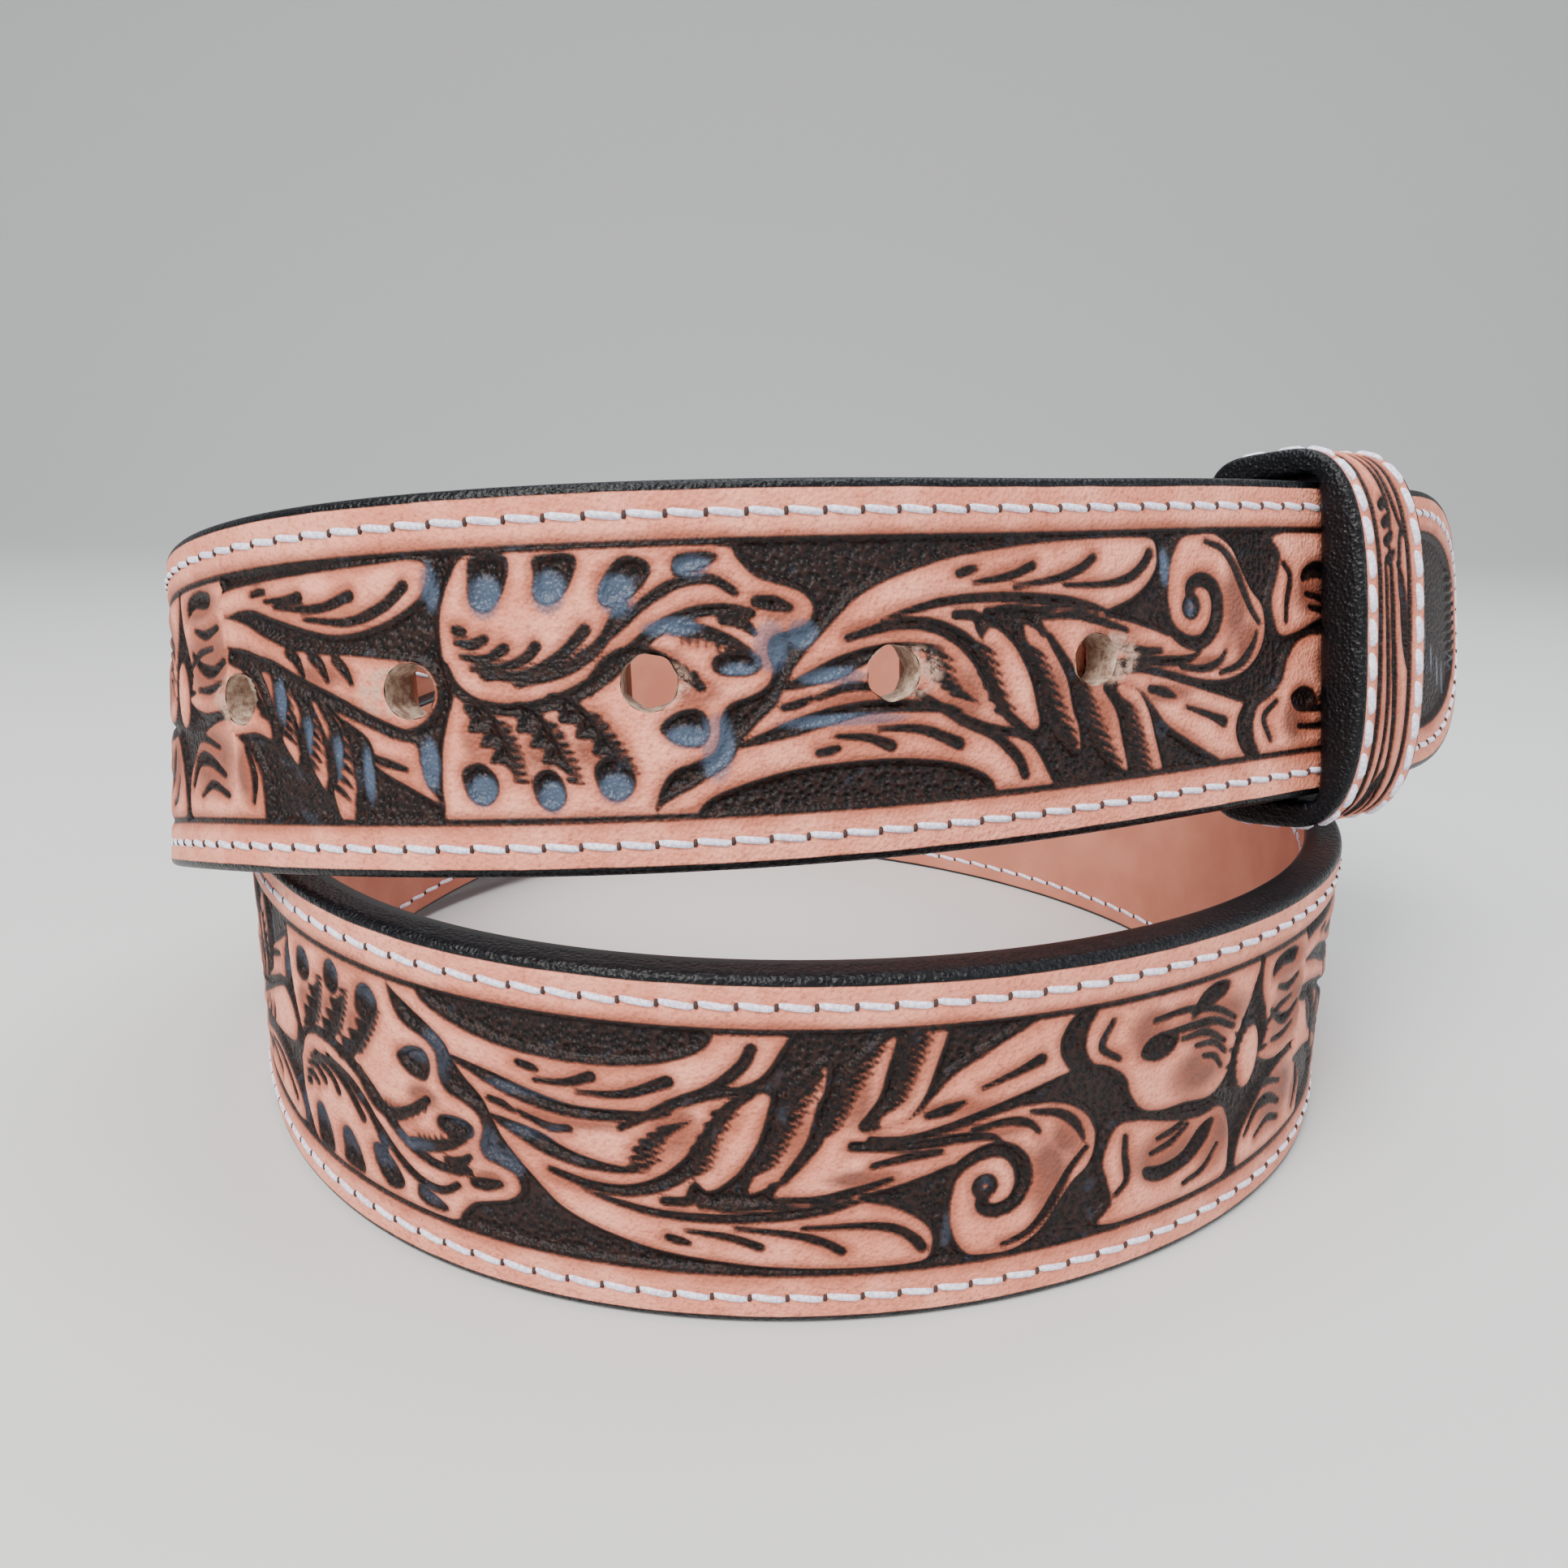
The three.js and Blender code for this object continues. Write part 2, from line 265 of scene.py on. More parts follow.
def tooledPaint(name):
    # tan is the distance into undyed leather, edge the distance from the cut edge, the gloss mask the glossy
    # dabs of dye, which also carry a painted blue-grey sheen of reflected light, burnt the browned places and
    # fray the torn rims of the holes
    paint = Paint(name)
    inside = paint.attribute("tan")
    edge = paint.attribute("edge")
    glossAndPaintedSheen = paint.attribute("glossAndPaintedSheen")
    fray = paint.attribute("fray")
    burnt = paint.attribute("burnt")
    ragged = inside + (paint.noise(900.0, 3.0) - 0.5) * 0.16
    grain = paint.noise(1500.0, 4.0, 0.6)
    mottle = paint.noise(160.0, 3.0)
    cells = paint.node("ShaderNodeTexVoronoi", {"feature": "SMOOTH_F1"},
                       {"Vector": paint.place(1500.0), "Scale": 1.0, "Smoothness": 0.5})
    leather = paint.mix(mottle.step(0.35, 0.7), tan, tanPale)
    leather = paint.mix((burnt * (mottle * 0.8 + 0.45)).atMost(0.85), leather, brown)
    leather = paint.mix((1 - (inside + (mottle - 0.5) * 1.3).step(0.0, 1.5)) * 0.78, leather, tanDeep)
    leather = paint.mix((1 - ragged.step(0.02, 0.32)) * 0.9, leather, residue)
    leather = paint.mix(grain.step(0.52, 0.66) * 0.4, leather, tanDeep)
    # painted reflection: a blue-grey sheen in streaks over the dark dye and over the glossy dabs, tinted into
    # the colour
    sheenStreaks = paint.noise(420.0, 3.0)
    sheen = (sheenStreaks.step(0.6, 0.76) * 0.2 + glossAndPaintedSheen * (sheenStreaks * 0.9 + 0.45)).atMost(0.95)
    dark = paint.mix(cells.step(0.3, 0.75) * 0.8, dye, dyeBrown)
    dark = paint.mix(sheen, dark, paintedSheenBlue)
    # painted reflection: the glossy dabs tint the tan towards the blue-grey sheen as well
    leather = paint.mix(glossAndPaintedSheen.step(0.2, 1.0) * 0.6, leather, paintedSheenBlue)
    colour = paint.mix(ragged.step(-0.06, 0.07), dark, leather)
    fibre = paint.noise(700.0, 5.0, 0.75)
    colour = paint.mix(fray.step(0.1, 0.8) * fibre.step(0.40, 0.58) * 0.85, colour, (0.52, 0.32, 0.24))
    painted = 1 - (edge + (mottle - 0.5) * 0.25).step(0.95, 1.15)
    colour = paint.mix(painted, colour, edgeBlack)
    ground = (0 - inside).step(0.45, 0.85) * edge.step(5.8, 6.4) * (1 - glossAndPaintedSheen)
    relief = ragged.step(-0.3, 0.3)
    normal = paint.bump(relief, 0.0004, 0.8)
    normal = paint.bump(cells * ground, 0.0006, 0.9, normal)
    pebble = paint.node("ShaderNodeTexVoronoi", {"feature": "F1"},
                        {"Vector": paint.place(2100.0), "Scale": 1.0})
    normal = paint.bump(pebble * (1 - ground), 0.00022, 0.6, normal)
    normal = paint.bump(grain + fibre * fray * 2.0, 0.0002, 0.9, normal)
    rough = 0.5 - glossAndPaintedSheen * 0.22 - painted * 0.14 + (grain - 0.5) * 0.25
    return paint.feed(baseColor=colour, roughness=rough, normal=normal, specular=0.24)


def plainPaint(name):
    # the lining's smooth tan leather, black along its painted edges
    paint = Paint(name)
    edge = paint.attribute("edge")
    mottle = paint.noise(90.0, 3.0)
    grain = paint.noise(1300.0, 4.0, 0.6)
    colour = paint.mix(mottle.step(0.3, 0.7), (0.44, 0.155, 0.10), (0.54, 0.21, 0.14))
    colour = paint.mix(grain.step(0.6, 0.8) * 0.3, colour, tanDeep)
    painted = 1 - (edge + (mottle - 0.5) * 0.3).step(0.45, 0.65)
    colour = paint.mix(painted, colour, edgeBlack)
    normal = paint.bump(grain, 0.00012, 0.5)
    return paint.feed(baseColor=colour, roughness=0.62 - painted * 0.2, normal=normal, specular=0.4)


def threadPaint():
    paint = Paint("thread")
    twist = paint.noise(2600.0, 2.0)
    colour = paint.mix(twist.step(0.35, 0.65), (0.56, 0.53, 0.70), (0.90, 0.88, 0.98))
    return paint.feed(baseColor=colour, roughness=0.7, normal=paint.bump(twist, 0.0001, 0.6), sheen=0.3)


def needleShadePaint():
    # painted shade: the dark colour of the bars that stand for the shade inside the needle holes
    paint = Paint("needle hole shade")
    return paint.feed(baseColor=(0.045, 0.018, 0.014), roughness=0.8)


def fibrePaint():
    # the raw fibres inside a punched hole
    paint = Paint("raw fibres")
    fibre = paint.noise(800.0, 4.0, 0.7)
    colour = paint.mix(fibre.step(0.35, 0.65), (0.20, 0.11, 0.075), (0.48, 0.36, 0.27))
    return paint.feed(baseColor=colour, roughness=0.9, normal=paint.bump(fibre, 0.0003, 0.8))


tooled = tooledPaint("tooled leather")
lining = plainPaint("lining leather")
thread = threadPaint()
needleHoleShade = needleShadePaint()
rawFibre = fibrePaint()
print("materials made")

# ---------- drawing: outlines and strokes, in millimetres on the flat strap


def smoothLine(points, closed, steps=6):
    # Catmull-Rom curve through the points
    points = np.asarray(points, float)
    if closed:
        points = np.concatenate([points[-1:], points, points[:2]])
    else:
        points = np.concatenate([2 * points[:1] - points[1:2], points, 2 * points[-1:] - points[-2:-1]])
    a, b, c, d = points[:-3, None], points[1:-2, None], points[2:-1, None], points[3:, None]
    f = (np.arange(steps) / steps)[None, :, None]
    curve = 0.5 * (2 * b + (c - a) * f + (2 * a - 5 * b + 4 * c - d) * f ** 2
                   + (3 * b - a - 3 * c + d) * f ** 3)
    curve = curve.reshape(-1, points.shape[1])
    return curve if closed else np.concatenate([curve, points[-2:-1]])


# every cut is this much wider at its worn rims than it was cut
wornRims = 0.22


class Drawing:
    # signed distance into undyed leather on a fine grid, built up by adding and cutting shapes in order
    def __init__(self, low, high, step):
        self.low, self.step = np.array(low, float), step
        self.x = np.arange(low[0], high[0] + step / 2, step)
        self.y = np.arange(low[1], high[1] + step / 2, step)
        self.field = np.full((len(self.x), len(self.y)), -3.0)

    def window(self, points, margin):
        # the part of the grid round some points, and the places in it
        part = []
        for k, axis in enumerate((self.x, self.y)):
            low, high = points[:, k].min() - margin, points[:, k].max() + margin
            part.append(slice(*np.searchsorted(axis, (low, high))))
        part = tuple(part)
        gx, gy = np.meshgrid(self.x[part[0]], self.y[part[1]], indexing="ij")
        return part, gx[..., None], gy[..., None]

    def nearest(self, gx, gy, a, b, widths=None):
        # distance from each grid place to a chain of pieces, less their half width
        dx, dy = b[:, 0] - a[:, 0], b[:, 1] - a[:, 1]
        t = np.clip(((gx - a[:, 0]) * dx + (gy - a[:, 1]) * dy) / (dx * dx + dy * dy + 1e-9), 0, 1)
        away = np.hypot(gx - a[:, 0] - t * dx, gy - a[:, 1] - t * dy)
        if widths is not None:
            away = away - (widths[:-1] + (widths[1:] - widths[:-1]) * t) / 2
        return away.min(-1)

    def inside(self, outline):
        # distance to a closed outline, more than 0 inside it
        line = smoothLine(outline, True)
        part, gx, gy = self.window(line, 3.0)
        a, b = line, np.roll(line, -1, 0)
        away = self.nearest(gx, gy, a, b)
        crosses = (a[:, 1] > gy) != (b[:, 1] > gy)
        at = a[:, 0] + (gy - a[:, 1]) * (b[:, 0] - a[:, 0]) / (b[:, 1] - a[:, 1] + 1e-12)
        odd = (crosses & (gx < at)).sum(-1) % 2 == 1
        return part, np.where(odd, away, -away)

    def add(self, outline):
        part, distance = self.inside(outline)
        self.field[part] = np.maximum(self.field[part], distance)

    def cut(self, outline):
        part, distance = self.inside(outline)
        self.field[part] = np.minimum(self.field[part], -distance)

    def stroke(self, start, middle, end, points):
        # a swivel-knife cut that is start, middle and end wide, and worn at its rims
        line = smoothLine(points, False)
        width = np.interp(np.linspace(0, 1, len(line)), [0, 0.5, 1], [start, middle, end]) + wornRims
        part, gx, gy = self.window(line, 2.5)
        self.field[part] = np.minimum(self.field[part], self.nearest(gx, gy, line[:-1], line[1:], width))

    def teeth(self, count, dx, dy, width, points):
        # short slanted cuts that leave a line at even steps
        line = smoothLine(points, False)
        place = np.linspace(0, len(line) - 1, count)
        base = np.stack([np.interp(place, np.arange(len(line)), line[:, k]) for k in range(2)], 1)
        for x, y in base:
            course = [(x, y), (x + dx * 0.5, y + dy * 0.42), (x + dx, y + dy)]
            self.stroke(width - 0.1, width * 0.6, -0.25, course)

    def at(self, x, y):
        # bilinear reading of the grid
        px = np.clip((x - self.low[0]) / self.step, 0, len(self.x) - 1.001)
        py = np.clip((y - self.low[1]) / self.step, 0, len(self.y) - 1.001)
        i, j = px.astype(int), py.astype(int)
        f, g = px - i, py - j
        return ((self.field[i, j] * (1 - f) + self.field[i + 1, j] * f) * (1 - g)
                + (self.field[i, j + 1] * (1 - f) + self.field[i + 1, j + 1] * f) * g)


# One repeat of the tooling, where it lies on the front of the upper turn: u is the length from the point
# of the strap, v the height from its middle line. It goes from a flower over a scroll, ropes and a shell to
# a leaf.
repeat = {"start": 42.0, "length": 166.0}
pattern = Drawing((repeat["start"] - 3, -14.4), (repeat["start"] + repeat["length"] + 3, 14.4), 0.2)

leafMass = [
    (156.5, -14.4), (155.2, -12.4), (152.5, -10.9), (149.8, -9.4), (147.8, -7.9), (147.0, -6.4),
    (145.4, -4.6), (143.4, -2.8), (142.3, -0.9), (141.2, 1.1), (139.4, 3.2), (137.5, 5.1), (136.4, 6.2),
    (134.6, 7.8), (131.6, 9.3), (128, 10.5), (124, 11.5), (119, 12.2), (113, 12.8), (106, 13.1),
    (99.6, 13.1), (97.0, 12.7), (96.4, 11.0), (96.7, 9.3), (98.2, 7.6), (100.6, 6.2), (103.6, 5.3),
    (104.6, 4.9), (107, 5.5), (112, 5.9), (118, 6.3), (121.2, 4.9), (120, 2.2), (117.6, -2.2),
    (115.4, -6.2), (116.4, -7.3), (114.2, -8.6), (112.6, -10.9), (111.4, -14.4), (117.6, -14.4),
    (119.6, -11.7), (122.6, -10.2), (126, -9.4), (131, -8.9), (137, -9.0), (142, -9.5), (147, -10.7),
    (150.4, -12.1), (152.6, -14.4)
]
scroll = [
    (92.9, 12.6), (90.4, 13.2), (87.2, 13.1), (84.4, 11.5), (82.6, 8.9), (80.9, 6.5), (79.1, 4.9),
    (78.4, 2.8), (78.6, 0.6), (80.0, -1.6), (82.6, -3.2), (86, -3.8), (90, -3.4), (94, -2.3), (98, -1.4),
    (103, -1.0), (107.6, 0.8), (111.4, 3.6), (112, 5.3), (107.4, 5.3), (104.4, 4.7), (100.5, 3.8),
    (97.2, 2.8), (94.6, 2.0), (94.4, 3.6), (94.9, 6.6), (94.5, 9.8)
]
ropes = [
    [(119.4, 4.2), (116.6, 2.4), (114.6, -0.8), (113.6, -4.0), (113.3, -6.9), (116.4, -7.0), (119.6, -6.3),
     (122.2, -4.8), (121.5, -1.8), (121.2, 1.2)],
    [(115.2, 4.3), (112.9, 3.3), (110.5, 1.2), (109.0, -1.8), (108.3, -5.2), (107.7, -9.8), (109.7, -8.4),
     (111.2, -6.2), (112.3, -3.1), (113.2, -0.2), (114.7, 2.2)],
    [(112.8, 4.7), (109.2, 3.9), (106.0, 2.0), (103.6, -1.6), (102.6, -5.2), (101.9, -8.8), (101.1, -12.9),
     (103.5, -11.2), (105.4, -9), (106.9, -6.2), (108.0, -2.9), (109.8, 0.6), (111.8, 2.9)],
    [(102.4, -2.9), (99.8, -3.5), (98.0, -6), (96.9, -9.4), (95.8, -14.2), (98.4, -13.9), (99.9, -11.8),
     (101.0, -8.6), (102.2, -5.4)],
]
longLeaf = [
    (104, -2.2), (100, -1.8), (96, -2.6), (92, -3.8), (88, -5.0), (84, -6.2), (81.8, -6.9), (83.1, -8.1),
    (83.6, -10.2), (82.6, -12.5), (80.6, -14.2), (84.4, -14.0), (88, -12.4), (92, -10.2), (95.2, -8.2),
    (97.0, -6.2), (99.0, -4.1), (101.4, -3.2)
]
shell = [
    (176.8, 4.0), (176.6, 7.6), (175.2, 11.0), (173.2, 13.2), (168, 13.3), (160, 13.3), (152, 13.3),
    (147.6, 13.1), (146.6, 11.9), (145.0, 10.2), (142.6, 9.3), (140.4, 8.5), (139.1, 7.0), (139.7, 5.3),
    (141.6, 4.6), (143.3, 4.1), (143.8, 2.7), (143.3, 0.9), (143.9, -0.7), (145.6, -1.7), (147.7, -2.4),
    (148.7, -3.8), (148.9, -5.8), (149.7, -7.4), (151.8, -8.2), (153.8, -9.0), (154.9, -10.4),
    (155.6, -12.3), (156.4, -14.3), (166, -14.4), (176.8, -14.3), (178.0, -11.2), (177.9, -8.0),
    (177.5, -5.2), (176.7, -2.8), (175.9, -0.4), (176.4, 1.8)
]
leafTop = [(208, 11.7), (200, 12.3), (192, 12.6), (184, 12.9), (179.2, 13.1), (177.4, 12.2), (178.4, 9.5),
           (181.4, 7.6), (185, 6.4), (189, 6.0), (193, 6.7), (198, 8.2), (202.5, 9.5), (208, 9.3)]
leafStem = [
    (210, 9.4), (204, 8.3), (200, 6.5), (196, 5.0), (192, 4.3), (187, 3.9), (182, 3.2), (178.8, 2.4),
    (177.6, 0.6), (177.8, -1.4), (179.6, -3.3), (182.4, -3.9), (186, -2.4), (190, -0.6), (195, 1.5),
    (200, 3.9), (204, 5.3), (210, 6.4)
]
leafRopes = [
    [(210, 4.2), (205.4, 3.8), (202.8, 1.9), (201.2, -1.0), (200.6, -4.4), (203.4, -3.8), (210, -3.2)],
    [(201.6, 3.4), (199.0, 2.0), (197.5, -0.4), (196.6, -3.4), (196.3, -7.6), (198.4, -5.4), (199.5, -2.4),
     (200.4, 0.8)],
    [(197.9, 0.9), (195.0, -0.3), (193.2, -2.8), (192.4, -6.0), (192.5, -10.4), (194.4, -8.0),
     (195.5, -4.8), (196.6, -2.0)],
    [(193.6, -0.6), (190.4, -2.4), (189.0, -5.4), (188.6, -9.0), (188.0, -14.2), (190.6, -13.8),
     (191.8, -10.6), (191.6, -6.2), (192.6, -3.2)],
    [(190.4, -1.8), (186.6, -3.3), (183.0, -4.8), (180.6, -5.4), (180.2, -7.6), (179.6, -9.6),
     (178.4, -11.6), (182.0, -9.8), (185.4, -7.9), (187.2, -5.6), (188.6, -3.6)],
    [(210, -3.4), (206.4, -4.6), (203.9, -7.0), (203.1, -10), (204.0, -14.2), (210, -14.2)],
]
petals = [
    [(76.4, 7.6), (75.6, 10.6), (77.2, 12.6), (73, 13.4), (66, 13.4), (57.4, 13.2), (56.6, 10), (57.4, 6.0),
     (59.4, 3.2), (63.0, 3.4), (66.2, 2.8), (68.8, 2.2), (72.0, 1.2), (75.4, 0.9), (76.8, 3.0),
     (77.2, 5.4)],
    [(75.2, -4.6), (74.2, -2.2), (72.4, -0.1), (69.6, 0.8), (65.8, 0.9), (61.6, 1.4), (58.9, -0.4),
     (57.9, -3.8), (56.6, -6.8), (55.2, -9.6), (54.9, -13.9), (66, -14.4), (77.4, -14.0), (80.0, -12.2),
     (80.7, -9.4), (79.6, -7.2), (77.4, -6.3)],
    [(54.2, 13.4), (46, 13.6), (40, 13.4), (39.6, 6), (40.6, 2.4), (45, 2.2), (49.4, 3.8), (52.2, 6.2),
     (54.4, 9.2)],
    [(52.2, -0.4), (48, 1.2), (43.6, 1.0), (39.4, 0.8), (39, -6), (39.4, -14.2), (48, -14.4), (53.0, -13.8),
     (53.2, -9.6), (51.8, -6.4), (50.9, -3.2)],
    [(56.4, 1.8), (54.4, 2.6), (52.8, 0.6), (52.6, -2.6), (54.0, -5.4), (56.2, -5.0), (57.2, -2.0)],
]
for outline in [leafMass, scroll, longLeaf, shell, leafTop, leafStem] + ropes + leafRopes + petals:
    pattern.add(outline)

darkShapes = [
    [(132, 5.4), (128.5, 6.6), (124, 7.5), (118, 7.7), (112, 7.3), (107.6, 6.6), (103.8, 5.2), (108, 5.7),
     (113, 6.3), (118, 6.8), (124, 6.7), (128, 6.1)],
    [(142.6, -1.1), (139.6, 0.5), (136.4, 1.9), (132.5, 2.8), (128.5, 2.9), (125, 2.3), (128.6, 2.2),
     (132, 1.6), (134.4, 0.8), (136.4, -0.2), (139.6, -0.9)],
    [(147.4, -6.8), (143.5, -5.1), (139, -3.6), (134, -2.8), (129, -2.9), (124.6, -3.6), (123, -4.4),
     (128, -4.1), (133, -4.0), (137.5, -4.9), (142, -6.0)],
    [(172.6, 12.9), (169.2, 12.8), (169.6, 9.8), (171.4, 7.6), (173.1, 8.4), (173.2, 10.6)],
    [(166.2, 12.6), (162.4, 12.6), (163.1, 9.8), (165.0, 8.0), (166.5, 8.8), (166.4, 11)],
    [(158.0, 12.2), (156.0, 12.1), (155.1, 11.0), (156.4, 9.1), (158.6, 7.7), (160.1, 8.1), (159.8, 10.1)],
    [(152.6, 12.2), (149.6, 12.5), (148.6, 11.9), (150.6, 10.9), (152.7, 10.4)],
    [(149.2, 2.2), (147.0, 2.9), (144.9, 2.3), (144.7, 1.0), (146.4, 0.4), (149.0, 0.8)],
    [(154.8, -4.6), (153.2, -3.1), (150.8, -2.9), (150.0, -4.8), (150.9, -6.4), (153.2, -6.1)],
    [(175.6, -8.4), (173.8, -7.5), (172.2, -8.6), (171.9, -10.4), (173.2, -11.7), (175.0, -11.0)],
    [(168.0, -9.2), (166.4, -8.3), (165.1, -9.4), (164.9, -11.4), (166.2, -12.5), (167.7, -11.4)],
    [(161.6, -8.2), (159.9, -7.2), (158.1, -8.4), (157.7, -10.2), (159.2, -11.6), (161.0, -10.8)],
    [(61.9, 7.4), (64.2, 8.9), (68.2, 9.7), (70.8, 8.8), (71.2, 7.4), (68.6, 7.8), (65.4, 7.2), (62.8, 4.9),
     (60.6, 4.4), (60.9, 6.0)],
    [(73.2, -6.6), (71.0, -5.6), (68.8, -6.2), (68.0, -7.8), (70.2, -8.7), (72.4, -8.2)],
    [(66.2, -9.4), (64.0, -10.0), (61.0, -10.9), (60.2, -12.2), (62.4, -12.7), (64.8, -11.8)],
    [(50.8, -10.2), (48.6, -10.9), (45.2, -10.6), (44.6, -12.0), (47.4, -12.6), (50.4, -12.0)],
]
for outline in darkShapes:
    pattern.cut(outline)

